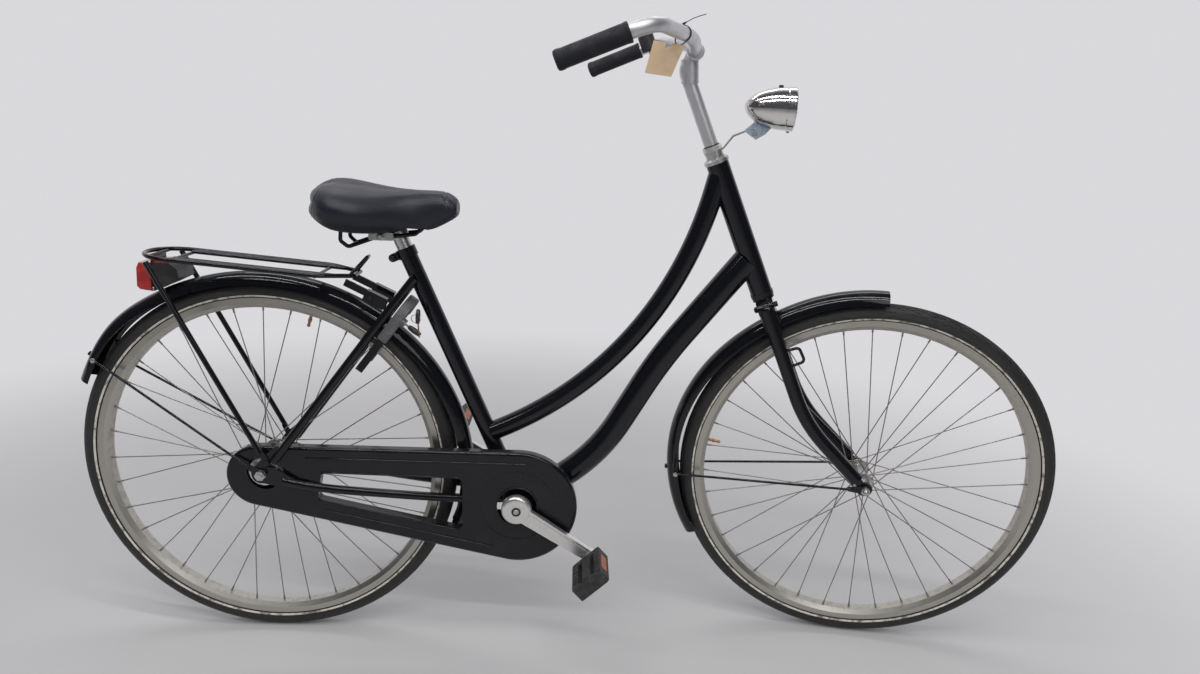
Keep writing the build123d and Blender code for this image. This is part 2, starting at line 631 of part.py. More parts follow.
def ring_lock():
    """Frame lock: the two arms that pass either side of the wheel, with lugs to the stays."""
    foot = LOCK_HALF - LOCK_LENGTH + (LOCK_HALF - LOCK_INSIDE) / 2
    left = extrude(lock_arm(1, -SEAT_GAP, foot), LOCK_THICKNESS / 2, both=True)
    right = extrude(lock_arm(-1, LOCK_HALF - LOCK_COVER - SEAT_GAP, foot), LOCK_THICKNESS / 2, both=True)
    stay = mirror(pipe(seat_stay_path(), STAY_RADIUS + SEAT_GAP), Plane.XZ)
    lug = rod((217, 39, 253.3), (206.4, 39.5, 261.2), 4.5) - stay
    lug = lug.solids().sort_by(SortBy.VOLUME)[-1]
    place = lock_frame()
    return [place * left + lug, place * right + mirror(lug, Plane.XZ)]


def ring_lock_cover():
    """The lock's body: a rounded arch over the tyre with the key cylinder on its right."""
    arch = Circle(LOCK_HALF) - Circle(LOCK_INSIDE) - Pos(0, -LOCK_HALF) * Rectangle(100, 2 * LOCK_HALF)
    low = LOCK_HALF - LOCK_COVER
    width = LOCK_HALF - LOCK_INSIDE + 2
    shank = Pos(-LOCK_HALF + width / 2 - 1, low / 2) * Rectangle(width, -low)
    cover = extrude(arch + shank, LOCK_THICKNESS / 2 + 3, both=True)
    cover = fillet(cover.faces().filter_by(Axis.Z).edges(), 3.5)
    cylinder = Pos(-LOCK_HALF + 8, 4, LOCK_THICKNESS / 2 + 2) * Cylinder(8.5, 12)
    return lock_frame() * (cover + cylinder)


# ---------------------------------------------------------------- saddle

POST_RADIUS = SEAT_TUBE_RADIUS - TUBE_WALL - RUNNING_GAP
POST_SHOWN = 34.0              # the post's length above the collar
POST_HIDDEN = 110.0            # and its length inside the seat tube


def seat_post():
    top = SEAT_TUBE_TOP + SEAT_UP * POST_SHOWN
    bottom = SEAT_TUBE_TOP - SEAT_UP * POST_HIDDEN
    return rod(bottom, top, POST_RADIUS)


def saddle_section(x, top, bottom, half_width, crown):
    """One cross-section of the saddle: domed top, full sides, rolled in underneath."""
    middle = bottom + (top - bottom) * 0.42
    points = [(0, top), (half_width * 0.62, top - crown), (half_width, middle),
              (half_width * 0.72, bottom + 3), (0, bottom),
              (-half_width * 0.72, bottom + 3), (-half_width, middle), (-half_width * 0.62, top - crown)]
    wire = Spline(*points, periodic=True)
    plane = Plane(origin=(x, 0, 0), x_dir=(0, 1, 0), z_dir=(1, 0, 0))
    return plane * make_face(wire)


SADDLE_POCKET_TOP = 469.0      # the underside of the pad, above its wire frame


def saddle():
    """Padded saddle, wide and humped behind, narrowing to a blunt nose."""
    sections = [saddle_section(108, 522, 484, 44, 6),
                saddle_section(121, 534, 472, 68, 8),
                saddle_section(155, 541, 460, 98, 10),
                saddle_section(200, 535, 456, 94, 10),
                saddle_section(245, 529, 456, 66, 9),
                saddle_section(290, 527, 462, 40, 7),
                saddle_section(335, 526, 474, 31, 6),
                saddle_section(360, 512, 486, 24, 5)]
    pad = loft(sections)
    pocket = Pos(228, 0, SADDLE_POCKET_TOP - 30) * Box(156, 76, 60)
    return pad - pocket


RAIL_RADIUS = 3.5
RAIL_Y = 20.0


def saddle_rail():
    """The right rail: from the nose, along under the seat and back round a spring loop."""
    return FilletPolyline((301, -15, 465), (288, -RAIL_Y, 452), (214, -RAIL_Y, 443),
                          (170, -28, 427), (157, -31, 438),
                          (160, -33, SADDLE_POCKET_TOP - SOFT_GAP - 0.3), radius=8)


def saddle_frame():
    """Wire undercarriage: a rail on each side, joined by a cross wire at the loops."""
    rail = pipe(saddle_rail(), RAIL_RADIUS)
    cross = rod((172, -28, 428), (172, 28, 428), RAIL_RADIUS - 0.5)
    return rail + mirror(rail, Plane.XZ) + cross


def saddle_clamp():
    """Clamp on the seat post: a round head, and a block that grips both rails."""
    rail = pipe(saddle_rail(), RAIL_RADIUS + SEAT_GAP)
    head = rod(SEAT_TUBE_TOP + SEAT_UP * (POST_SHOWN - 13),
               SEAT_TUBE_TOP + SEAT_UP * (POST_SHOWN - 1), POST_RADIUS + 3)
    block = fillet((Pos(228, 0, 447) * Box(44, 56, 14)).edges().filter_by(Axis.Y), 3)
    clamp = head + block
    clamp -= rod(SEAT_TUBE_TOP, SEAT_TUBE_TOP + SEAT_UP * 60, POST_RADIUS + RUNNING_GAP)
    return clamp - rail - mirror(rail, Plane.XZ)


# ---------------------------------------------------------------- cranks and pedals

CRANK_INNER = CASE_OUTER + 8   # the cranks clear the case's face
CRANK_THICKNESS = 14.0
CRANK_BOSS = 29.0
PEDAL_GAP = 12.0
PEDAL_WIDTH = 90.0
PEDAL_LENGTH = 66.0
PEDAL_THICKNESS = 26.0
PIN_RADIUS = 5.0


def crank_spindle():
    end = CRANK_INNER + CRANK_THICKNESS
    return disc(SPINDLE_RADIUS, -end + 3, end - 3, centre=(BRACKET_X, BRACKET_Z))


def crank(side, angle):
    """One crank: a domed boss, a tapering arm with a ridge along it, and the pedal's pin."""
    tip = (CRANK_LENGTH, 0)
    arm = make_hull([(Pos(18, 0) * Circle(15)).edge(), (Pos(*tip) * Circle(11.5)).edge()])
    body = side_plate(arm, -CRANK_THICKNESS + 1, -1)
    ridge = make_hull([(Pos(30, 5) * Circle(4)).edge(), (Pos(CRANK_LENGTH - 16, 4) * Circle(2.5)).edge()])
    body += side_plate(ridge, -CRANK_THICKNESS - 0.8, -2)
    boss = disc(CRANK_BOSS, -CRANK_THICKNESS, 0)
    boss = fillet(boss.faces().sort_by(Axis.Y)[0].edges(), 8)
    body += boss + disc(13, -CRANK_THICKNESS, 0, centre=tip)
    body += disc(11, -CRANK_THICKNESS - 1, -CRANK_THICKNESS + 2)
    body += disc(PIN_RADIUS, -CRANK_THICKNESS - PEDAL_GAP - PEDAL_WIDTH + 8, -2, centre=tip)
    body += disc(9, -CRANK_THICKNESS - 5, -2, centre=tip)
    body = Pos(0, -CRANK_INNER, 0) * body
    body -= disc(SPINDLE_RADIUS + SEAT_GAP / 10, -CRANK_INNER - CRANK_THICKNESS + 3, 0)
    if side > 0:
        body = mirror(body, Plane.XZ)
    return Pos(BRACKET_X, 0, BRACKET_Z) * Rot(0, -angle, 0) * body


def pedal_centre(angle):
    turn = math.radians(angle)
    return (BRACKET_X + CRANK_LENGTH * math.cos(turn), BRACKET_Z + CRANK_LENGTH * math.sin(turn))


def pedal(side, angle):
    """One pedal: a bored core and end plates, two ribbed treads, and reflector pockets."""
    low = CRANK_INNER + CRANK_THICKNESS + PEDAL_GAP
    half = PEDAL_LENGTH / 2
    block = fillet(Box(PEDAL_LENGTH, PEDAL_WIDTH, PEDAL_THICKNESS).edges().filter_by(Axis.Z), 6)
    for x in (-1, 1):
        block -= Pos(x * 14, 0, 0) * Box(10, PEDAL_WIDTH - 20, 2 * PEDAL_THICKNESS)
        block -= Pos(x * half, 0, 0) * Box(8, 46, 15)
        for groove in range(-3, 4):
            for top in (-1, 1):
                cut = Rot(0, 90, 0) * Cylinder(1.6, 13)
                block -= Pos(x * 26, groove * 12, top * PEDAL_THICKNESS / 2) * cut
    block -= Rot(90, 0, 0) * Cylinder(PIN_RADIUS + RUNNING_GAP, PEDAL_WIDTH + 20)
    x, z = pedal_centre(angle)
    place = Pos(x, side * (low + PEDAL_WIDTH / 2), z) * Rot(0, PEDAL_ANGLE, 0)
    reflectors = [place * (Pos(s * (half - 1.8), 0, 0) * Box(4.0, 45.4, 14.4)) for s in (-1, 1)]
    return place * block, reflectors


# ---------------------------------------------------------------- steering assembly

CROWN_LOW = 356.0
HEAD_GAP = 0.3
CROWN_HIGH = HEAD_TUBE_BOTTOM - LOWER_CUP_HEIGHT - HEAD_GAP


def fork_crown():
    """Crown: round sockets for the blades under a rounded bridge, with the steerer tube."""
    bridge = Pos(0, 0, (CROWN_LOW + CROWN_HIGH - 5) / 2) * Box(31, 84, CROWN_HIGH - 5 - CROWN_LOW)
    bridge = fillet(bridge.edges().filter_by(Axis.X), 12)
    race = Pos(0, 0, CROWN_HIGH - 6) * Cylinder(HEAD_TUBE_RADIUS, 6,
                                                align=(Align.CENTER, Align.CENTER, Align.MIN))
    steerer = Pos(0, 0, CROWN_HIGH - 1) * Cylinder(STEERER_RADIUS, HEAD_TUBE_TOP + 34 - CROWN_HIGH,
                                                  align=(Align.CENTER, Align.CENTER, Align.MIN))
    bore = Pos(0, 0, CROWN_LOW - 10) * Cylinder(STEERER_RADIUS - STEERER_WALL, 400,
                                               align=(Align.CENTER, Align.CENTER, Align.MIN))
    top = Vector(0, -BLADE_TOP_V, BLADE_TOP_W)
    along = (Vector(0, -BLADE_LOW_V, 136) - top).normalized()
    lug = rod(top - along * 4, top + along * 44, BLADE_RADIUS + 2.2)
    lug = fillet(lug.faces().sort_by(Axis.Z)[-1].edges(), 9)
    socket = rod(top - along * SEAT_GAP, top + along * 60, BLADE_RADIUS + SEAT_GAP)
    crown = bridge + race + steerer + lug + mirror(lug, Plane.XZ)
    return crown - bore - socket - mirror(socket, Plane.XZ)


BLADE_TOP_V = 31.0
BLADE_TOP_W = 372.0
BLADE_LOW_V = 48.0


def blade_path():
    tip = Vector(FRONT_HUB_U, -FORK_INNER - 2.5, FRONT_HUB_W)
    return FilletPolyline(Vector(0, -BLADE_TOP_V, BLADE_TOP_W), Vector(0, -BLADE_LOW_V, 136), tip,
                          radius=290)


def fork_blades():
    """Blades: straight from the crown, then raked forward to the dropouts."""
    hub_place = Pos(FRONT_HUB_U, 0, FRONT_HUB_W)
    blade = pipe(blade_path(), BLADE_RADIUS)
    plate = hub_place * disc(14, -FORK_INNER - 5, -FORK_INNER)
    blade -= hub_place * disc(27, -FORK_INNER - 30, -FORK_INNER + 20)
    link = rod((FRONT_HUB_U - 14, -FORK_INNER - 2.5, FRONT_HUB_W + 36),
               (FRONT_HUB_U, -FORK_INNER - 2.5, FRONT_HUB_W), 7.5)
    link -= hub_place * disc(70, -FORK_INNER, -FORK_INNER + 20)
    link -= hub_place * disc(70, -FORK_INNER - 25, -FORK_INNER - 5)
    blade = blade + plate + link
    blade -= hub_place * disc(AXLE_RADIUS + SEAT_GAP, -90, -30)
    loop_y = -41.0
    loop = FilletPolyline((6, loop_y, 283), (34, loop_y, 281), (36, loop_y, 252), (6, loop_y, 250),
                          radius=7)
    return [blade + pipe(loop, 2.8), mirror(blade, Plane.XZ)]


def front_axle():
    end = FRONT_NUT_Y + 10
    shaft = disc(AXLE_RADIUS, -end, end)
    cone = disc(8, FORK_INNER - 4.5, FORK_INNER - SEAT_GAP)
    nut = hexagon(15, FRONT_NUT_Y, FRONT_NUT_Y + 7, AXLE_RADIUS - 0.5)
    for piece in (cone, nut):
        shaft += piece + mirror(piece, Plane.XZ)
    return Pos(FRONT_HUB_U, 0, FRONT_HUB_W) * shaft


def front_fender():
    guard = Pos(FRONT_HUB_U, 0, FRONT_HUB_W) * mudguard(FRONT_GUARD)
    blades = pipe(blade_path(), BLADE_RADIUS + 3.2)
    return guard - blades - mirror(blades, Plane.XZ)


def front_fender_stays():
    return both_sides(guard_stay(160, 382, FRONT_STAY_Y, (FRONT_HUB_U, FRONT_HUB_W)))


RACE_HEIGHT = 9.0
STRIP_THICKNESS = 2.5
RACE_LOW = HEAD_TUBE_TOP + UPPER_CUP_HEIGHT + HEAD_GAP
STRIP_LOW = RACE_LOW + RACE_HEIGHT + SEAT_GAP
NUT_LOW = STRIP_LOW + STRIP_THICKNESS + SEAT_GAP


def headset_nut():
    """Top race and locknut, which turn with the fork and hold the lamp's strip between them."""
    low_ring = Pos(0, 0, RACE_LOW) * Cylinder(NECK_RADIUS - 1, RACE_HEIGHT,
                                              align=(Align.CENTER, Align.CENTER, Align.MIN))
    nut = Pos(0, 0, NUT_LOW) * extrude(RegularPolygon(NECK_RADIUS, 8), 9)
    bore = Pos(0, 0, RACE_LOW - 5) * Cylinder(STEERER_RADIUS + SEAT_GAP, 60,
                                             align=(Align.CENTER, Align.CENTER, Align.MIN))
    return [low_ring - bore, nut - bore]


STEM_RADIUS = STEERER_RADIUS - STEERER_WALL - STAY_END_GAP
BAR_CENTRE = (26.0, 0, 838.0)
BAR_KNEE = (25.0, -110, 856.0)
BAR_CORNER = (-25.0, -269, 889.0)
GRIP_FRONT_U = -63.0
BAR_END = (GRIP_FRONT_U - GRIP_LENGTH + 4, -280, 891.0)


def mirrored(point):
    return (point[0], -point[1], point[2])


def bar_path():
    return FilletPolyline(BAR_END, BAR_CORNER, BAR_KNEE, BAR_CENTRE, mirrored(BAR_KNEE),
                          mirrored(BAR_CORNER), mirrored(BAR_END), radius=[50, 250, 120, 250, 50])


def handlebar():
    """Bar and stem in one: a cast head joins the stem to the middle of the bar."""
    bar = pipe(bar_path(), BAR_RADIUS)
    stem = FilletPolyline((0, 0, 560), (0, 0, 815), (BAR_CENTRE[0] - 2, 0, BAR_CENTRE[2]), radius=20)
    sleeve = disc(STEM_HEAD_RADIUS, -22, 22)
    sleeve = Pos(*BAR_CENTRE) * fillet(sleeve.edges(), 3)
    collar = rod((0, 0, 792), (BAR_CENTRE[0] / 2, 0, BAR_CENTRE[2] - 8), STEM_RADIUS + 2.6)
    return bar + pipe(stem, STEM_RADIUS) + sleeve + collar


STEM_HEAD_RADIUS = 15.0


def grips():
    start = Vector(*BAR_CORNER)
    end = Vector(*BAR_END)
    along = (end - start).normalized()
    front = end - along * (GRIP_LENGTH - 4)
    sleeve = rod(front, front + along * GRIP_LENGTH, GRIP_RADIUS)
    sleeve -= rod(front - along * 2, end + along * SEAT_GAP, BAR_RADIUS + SEAT_GAP)
    return both_sides(sleeve)


LAMP_TIP = Vector(75.4, 0, 722.0)
LAMP_ANGLE = -24.6
LAMP_LENGTH = 87.0
LAMP_RADIUS = 37.6
BEZEL_DEPTH = 15.0
GLASS_INSET = 4.0
GLASS_DOME = 7.0


def lamp_frame():
    turn = math.radians(LAMP_ANGLE)
    return Plane(origin=LAMP_TIP, x_dir=(math.sin(turn), 0, -math.cos(turn)),
                 z_dir=(math.cos(turn), 0, math.sin(turn)))


def lamp_curve(gap=0.0):
    """The shell's egg-shaped side, from its tip to the bezel, grown by a gap."""
    return Spline((0, -gap), (15.5 + gap, 8.5), (25.5 + gap, 21.5), (33 + gap, 43),
                  (LAMP_RADIUS - 1 + gap, LAMP_LENGTH - BEZEL_DEPTH), tangents=[(1, 0.1), (0.03, 1)])


def headlight():
    """Bullet lamp: an egg-shaped pressed shell, a bezel ring, and a domed glass set in it."""
    back = LAMP_LENGTH - BEZEL_DEPTH
    opening = LAMP_RADIUS - GLASS_INSET
    edge = Polyline((LAMP_RADIUS - 1, back), (LAMP_RADIUS, back + 1.5), (LAMP_RADIUS, LAMP_LENGTH - 2),
                    (LAMP_RADIUS - 1.5, LAMP_LENGTH), (opening, LAMP_LENGTH), (opening, back),
                    (0, back), (0, 0))
    shell = revolve(Plane.XZ * make_face([lamp_curve(), edge]), Axis.Z)
    rim = opening - SEAT_GAP
    dome = (rim ** 2 + GLASS_DOME ** 2) / (2 * GLASS_DOME)
    glass = Pos(0, 0, LAMP_LENGTH - 3 + GLASS_DOME - dome) * Sphere(dome)
    glass &= Pos(0, 0, LAMP_LENGTH - 6) * Cylinder(rim, 30, align=(Align.CENTER, Align.CENTER, Align.MIN))
    place = lamp_frame().location
    return place * shell, place * glass


def headlight_bracket():
    """Bent strip from the headset, rising to the moulded holder."""
    ring = Pos(0, 0, STRIP_LOW) * extrude(Circle(NECK_RADIUS) - Circle(STEERER_RADIUS + SEAT_GAP),
                                          STRIP_THICKNESS)
    top = STRIP_LOW + STRIP_THICKNESS
    strip = make_face(Polyline((15, STRIP_LOW), (19, STRIP_LOW), (42, HOLDER_FOOT - 0.5),
                               (HOLDER_BACK, HOLDER_FOOT), (HOLDER_BACK, HOLDER_FOOT + 2.6),
                               (41, HOLDER_FOOT + 2.4), (18, top), (15, top), close=True))
    return ring + extrude(Plane.XZ * strip, 9, both=True)


HOLDER_BACK = 64.0
HOLDER_FOOT = 680.6


def headlight_holder():
    """Moulded block between the strip and the lamp's underside."""
    back = HOLDER_BACK + SEAT_GAP
    block = Polygon((back, HOLDER_FOOT + 3), (86, 691), (104, 700), (108, 672), (94, 665), (76, 662),
                    (back, HOLDER_FOOT - 1), align=None)
    block = extrude(Plane.XZ * block, 10, both=True)
    side = LAMP_RADIUS - 1 + SOFT_GAP
    edge = Polyline((side, LAMP_LENGTH - BEZEL_DEPTH), (side, LAMP_LENGTH), (0, LAMP_LENGTH),
                    (0, -SOFT_GAP))
    lamp = revolve(Plane.XZ * make_face([lamp_curve(SOFT_GAP), edge]), Axis.Z)
    block -= lamp_frame().location * lamp
    return block.solids().sort_by(SortBy.VOLUME)[-1]


def bell():
    """Small domed bell on the left of the bar, just ahead of the grip."""
    base = Pos(-45, 262, 899) * Cylinder(16, 38)
    base = fillet(base.edges().sort_by(Axis.Z)[-1], 9)
    base = fillet(base.edges().sort_by(Axis.Z)[0], 5)
    return base - pipe(bar_path(), BAR_RADIUS + SEAT_GAP)


# ---------------------------------------------------------------- all pieces

def front_wheel_place(shape):
    return steered(Pos(FRONT_HUB_U, 0, FRONT_HUB_W) * shape)


def placed(shapes, place):
    if isinstance(shapes, (list, tuple)):
        return [place(shape) for shape in shapes]
    return place(shapes)


def bar_place(shape):
    return steered(shape, STEER_REST + BAR_TURN)


def everything():
    nodes = {}
    nodes["head_tube"] = head_tube()
    nodes["headset_cups"] = headset_cups()
    nodes["upper_tube"] = upper_tube()
    nodes["lower_tube"] = lower_tube()
    nodes["seat_tube"] = seat_tube()
    nodes["bottom_bracket"] = bottom_bracket()
    nodes["chain_stays"] = chain_stays()
    nodes["seat_stays"] = seat_stays()
    nodes["rear_dropouts"] = dropouts()
    nodes["rear_axle"] = rear_axle()
    nodes["rear_mudguard"] = rear_fender()
    nodes["rear_mudguard_stays"] = rear_fender_stays()
    nodes["carrier_deck"] = rack()
    nodes["carrier_stays"] = rack_stays()
    nodes["carrier_struts"] = rack_struts()
    nodes["rear_light_lens"], nodes["rear_light_housing"] = rear_light()
    nodes["chain_case"] = chain_case()
    nodes["ring_lock"] = ring_lock()
    nodes["ring_lock_cover"] = ring_lock_cover()
    nodes["seat_post"] = seat_post()
    nodes["saddle_frame"] = saddle_frame()
    nodes["saddle_clamp"] = saddle_clamp()
    nodes["saddle"] = saddle()
    nodes["rear_tyre"] = tyre()
    nodes["rear_rim"] = rim()
    nodes["rear_spokes"] = spokes(REAR_HUB["flange_radius"], REAR_HUB["flange_y"])
    nodes["rear_hub"] = hub(half_width=REAR_HUB_HALF, **REAR_HUB)
    nodes["front_tyre"] = placed(tyre(), front_wheel_place)
    nodes["front_rim"] = placed(rim(), front_wheel_place)
    nodes["front_spokes"] = placed(spokes(FRONT_HUB["flange_radius"], FRONT_HUB["flange_y"]),
                                   front_wheel_place)
    nodes["front_hub"] = placed(hub(half_width=FRONT_HUB_HALF, **FRONT_HUB), front_wheel_place)
    nodes["fork_crown"] = steered(fork_crown())
    nodes["fork_blades"] = placed(fork_blades(), steered)
    nodes["front_axle"] = steered(front_axle())
    nodes["front_mudguard"] = steered(front_fender())
    nodes["front_mudguard_stays"] = placed(front_fender_stays(), steered)
    nodes["headset_nut"] = placed(headset_nut(), steered)
    nodes["handlebar"] = bar_place(handlebar())
    nodes["grips"] = placed(grips(), bar_place)
    shell, glass = headlight()
    nodes["headlight_shell"] = steered(shell)
    nodes["headlight_glass"] = steered(glass)
    nodes["headlight_bracket"] = steered(headlight_bracket())
    nodes["headlight_holder"] = steered(headlight_holder())
    nodes["bell"] = bar_place(bell())
    nodes["crank_spindle"] = crank_spindle()
    nodes["crank_right"] = crank(-1, CRANK_ANGLE)
    nodes["crank_left"] = crank(1, CRANK_ANGLE + 180)
    nodes["pedal_right"], nodes["pedal_right_reflectors"] = pedal(-1, CRANK_ANGLE)
    nodes["pedal_left"], nodes["pedal_left_reflectors"] = pedal(1, CRANK_ANGLE + 180)
    return nodes


def write(name, shape):
    pieces = shape if isinstance(shape, list) else [shape]
    solids = [solid for piece in pieces for solid in piece.solids()]
    solids = [solid.moved(Location(-SADDLE_POINT)) for solid in solids]
    body = solids[0] if len(solids) == 1 else Compound(children=solids)
    export_step(body, os.path.join("parts", name + ".step"))


os.makedirs("parts", exist_ok=True)
for node_name, node_shape in everything().items():
    write(node_name, node_shape)
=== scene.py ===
"""A step-through city bicycle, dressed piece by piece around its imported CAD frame, in metres."""
import json
import math
import bpy
from mathutils import Matrix, Vector


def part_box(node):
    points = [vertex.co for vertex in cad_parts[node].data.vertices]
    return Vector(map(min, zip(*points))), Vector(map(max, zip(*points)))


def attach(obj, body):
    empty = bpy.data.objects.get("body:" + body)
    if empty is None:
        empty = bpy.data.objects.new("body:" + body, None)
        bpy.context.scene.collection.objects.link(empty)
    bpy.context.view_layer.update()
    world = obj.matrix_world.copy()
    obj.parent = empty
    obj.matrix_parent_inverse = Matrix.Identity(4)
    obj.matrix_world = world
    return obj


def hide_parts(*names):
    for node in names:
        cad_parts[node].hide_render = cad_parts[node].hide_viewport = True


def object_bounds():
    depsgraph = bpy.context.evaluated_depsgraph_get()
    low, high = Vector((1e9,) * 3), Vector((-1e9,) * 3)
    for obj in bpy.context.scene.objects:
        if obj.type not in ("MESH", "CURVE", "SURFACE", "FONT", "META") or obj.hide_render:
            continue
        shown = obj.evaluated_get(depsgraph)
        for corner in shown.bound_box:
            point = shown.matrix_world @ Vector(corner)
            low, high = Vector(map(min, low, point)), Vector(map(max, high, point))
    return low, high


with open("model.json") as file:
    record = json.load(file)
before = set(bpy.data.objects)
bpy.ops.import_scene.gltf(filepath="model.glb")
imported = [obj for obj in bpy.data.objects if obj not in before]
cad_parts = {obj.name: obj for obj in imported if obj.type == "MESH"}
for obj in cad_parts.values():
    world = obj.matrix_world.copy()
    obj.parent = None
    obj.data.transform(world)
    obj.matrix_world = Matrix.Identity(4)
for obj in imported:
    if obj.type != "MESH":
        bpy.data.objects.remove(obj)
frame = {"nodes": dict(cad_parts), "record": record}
nodes = frame["nodes"]
cad_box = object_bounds()


# ------------------------------ frame tubes
# The frame is steel tube, coped and brazed, then sprayed with black enamel. The paint is
# glossy with a faint orange peel, fine rubbed marks, and a little dust on what faces up.

class Value:
    """A socket of a finish: arithmetic on it adds the Math nodes."""

    def __init__(self, finish, socket):
        self.finish = finish
        self.socket = socket

    def math(self, operation, first, second=0.0):
        return self.finish.node("ShaderNodeMath", {"operation": operation}, {0: first, 1: second})

    def __add__(self, other):
        return self.math("ADD", self, other)

    def __sub__(self, other):
        return self.math("SUBTRACT", self, other)

    def __rsub__(self, other):
        return self.math("SUBTRACT", other, self)

    def __mul__(self, other):
        return self.math("MULTIPLY", self, other)

    def __abs__(self):
        return self.math("ABSOLUTE", self)

    __radd__ = __add__
    __rmul__ = __mul__


class Finish:
    """A material: what is even all over sits on the shader's sockets, and patterns are nodes."""

    def __init__(self, name, color, roughness, **sockets):
        self.material = bpy.data.materials.new(name)
        self.material.use_nodes = True
        self.tree = self.material.node_tree
        self.shader = self.tree.nodes["Principled BSDF"]
        self.color = color
        self.paint(Base_Color=color, Roughness=roughness, **sockets)
        self.place = self.node("ShaderNodeTexCoord", {}, {}, "Object")
        self.facing = self.node("ShaderNodeTexCoord", {}, {}, "Normal")

    def put(self, node, socket, value):
        """Sets a socket to a number or a colour, or links a value to it."""
        entry = node.inputs[socket]
        if isinstance(value, Value):
            self.tree.links.new(value.socket, entry)
        elif entry.type == "RGBA":
            entry.default_value = (*value, 1)
        else:
            entry.default_value = value

    def node(self, kind, settings, sockets, output=0):
        """Adds a node: its settings first, then its sockets' values and links."""
        made = self.tree.nodes.new(kind)
        for setting, value in settings.items():
            setattr(made, setting, value)
        for socket, value in sockets.items():
            self.put(made, socket, value)
        return Value(self, made.outputs[output])

    def paint(self, **sockets):
        """Gives values or patterns to the shader's own sockets."""
        for socket, value in sockets.items():
            self.put(self.shader, socket.replace("_", " "), value)

    def cloud(self, scale, detail=3.0, place=None, stretch=(1, 1, 1)):
        """Noise from 0 to 1 at a scale per metre, drawn out along an axis by stretch."""
        spot = self.node("ShaderNodeMapping", {}, {"Vector": place or self.place, "Scale": stretch})
        return self.node("ShaderNodeTexNoise", {},
                         {"Vector": spot, "Scale": scale, "Detail": detail})

    def spread(self, value, low, high):
        """Eases a value from 0 at low to 1 at high."""
        return self.node("ShaderNodeMapRange", {"interpolation_type": "SMOOTHSTEP"},
                         {"Value": value, "From Min": low, "From Max": high})

    def layer(self, share, under, over):
        """Lays one colour over another by a share."""
        return self.node("ShaderNodeMix", {"data_type": "RGBA"}, {0: share, 6: under, 7: over}, 2)

    def axis(self, vector, letter):
        return self.node("ShaderNodeSeparateXYZ", {}, {"Vector": vector}, letter)

    def relief(self, height, distance, strength=1.0):
        """Raises the surface by a height, in metres."""
        self.paint(Normal=self.node("ShaderNodeBump", {}, {"Height": height, "Distance": distance,
                                                           "Strength": strength}))


def dress(finish, *names):
    """Gives a finish to CAD nodes."""
    for name in names:
        nodes[name].data.materials.clear()
        nodes[name].data.materials.append(finish.material)


def enamel_finish(name, dust_share):
    enamel = Finish(name, (0.0045, 0.0048, 0.0065), 0.13, Specular_IOR_Level=0.32, Coat_Weight=0.2,
                    Coat_Roughness=0.02)
    upward = enamel.spread(enamel.axis(enamel.facing, "Z"), 0.35, 1.0)
    dust = upward * enamel.spread(enamel.cloud(38), 0.3, 0.75) * dust_share
    specks = enamel.spread(enamel.cloud(900, 1.0), 0.69, 0.74)
    rubbed = enamel.spread(enamel.cloud(24, 2.0, stretch=(1, 1, 34)), 0.66, 0.72)
    rubbed = rubbed * enamel.spread(enamel.cloud(11), 0.48, 0.62)
    enamel.paint(Base_Color=enamel.layer(dust + specks * 0.05 + rubbed * 0.06, enamel.color,
                                         (0.2, 0.193, 0.178)),
                 Roughness=0.08 + dust * 1.3 + rubbed * 0.2 + enamel.cloud(60) * 0.04)
    enamel.relief(enamel.cloud(230, 1.0), 0.0005, 0.06)
    return enamel


enamel = enamel_finish("black_enamel", 0.04)
dress(enamel, "head_tube", "upper_tube", "lower_tube", "seat_tube", "bottom_bracket",
      "chain_stays", "seat_stays", "rear_dropouts")


# ------------------------------ frame fasteners
# The seat collar is drawn together by a small blackened bolt through its ear. The bottom
# bracket's left cup is locked by a turned ring, zinc plated and a little dull, as are the
# axles. The headset's cups are plated above a height, and near-black and unplated below it.

def select_none():
    bpy.ops.object.select_all(action="DESELECT")


def only(piece):
    """Selects one object and nothing else."""
    select_none()
    piece.select_set(True)
    bpy.context.view_layer.objects.active = piece


def open_whole():
    """Opens the active piece in edit mode with all of it selected."""
    bpy.ops.object.mode_set(mode="EDIT")
    bpy.ops.mesh.select_all(action="SELECT")


def close():
    """Leaves edit mode."""
    bpy.ops.object.mode_set(mode="OBJECT")


def soften(degrees):
    """Shades the active piece smooth, but for edges that turn by more than an angle."""
    bpy.ops.object.shade_smooth_by_angle(angle=math.radians(degrees))


def pick(piece, test):
    """Opens a piece in edit mode with the faces that pass a test of place and normal selected."""
    only(piece)
    mesh = piece.data
    mesh.vertices.foreach_set("select", [False] * len(mesh.vertices))
    mesh.edges.foreach_set("select", [False] * len(mesh.edges))
    mesh.polygons.foreach_set("select", [bool(test(face.center, face.normal))
                                         for face in mesh.polygons])
    bpy.context.tool_settings.mesh_select_mode = (False, False, True)
    bpy.ops.object.mode_set(mode="EDIT")


def stand(piece, foot, along, turn=0.0):
    """Moves a piece modelled upright at the origin to its foot, with its axis along a line."""
    only(piece)
    upright = Vector(along).to_track_quat("Z", "Y").to_matrix().to_4x4()
    piece.matrix_world = Matrix.Translation(foot) @ upright @ Matrix.Rotation(turn, 4, "Z")
    bpy.ops.object.transform_apply(location=True, rotation=True, scale=True)


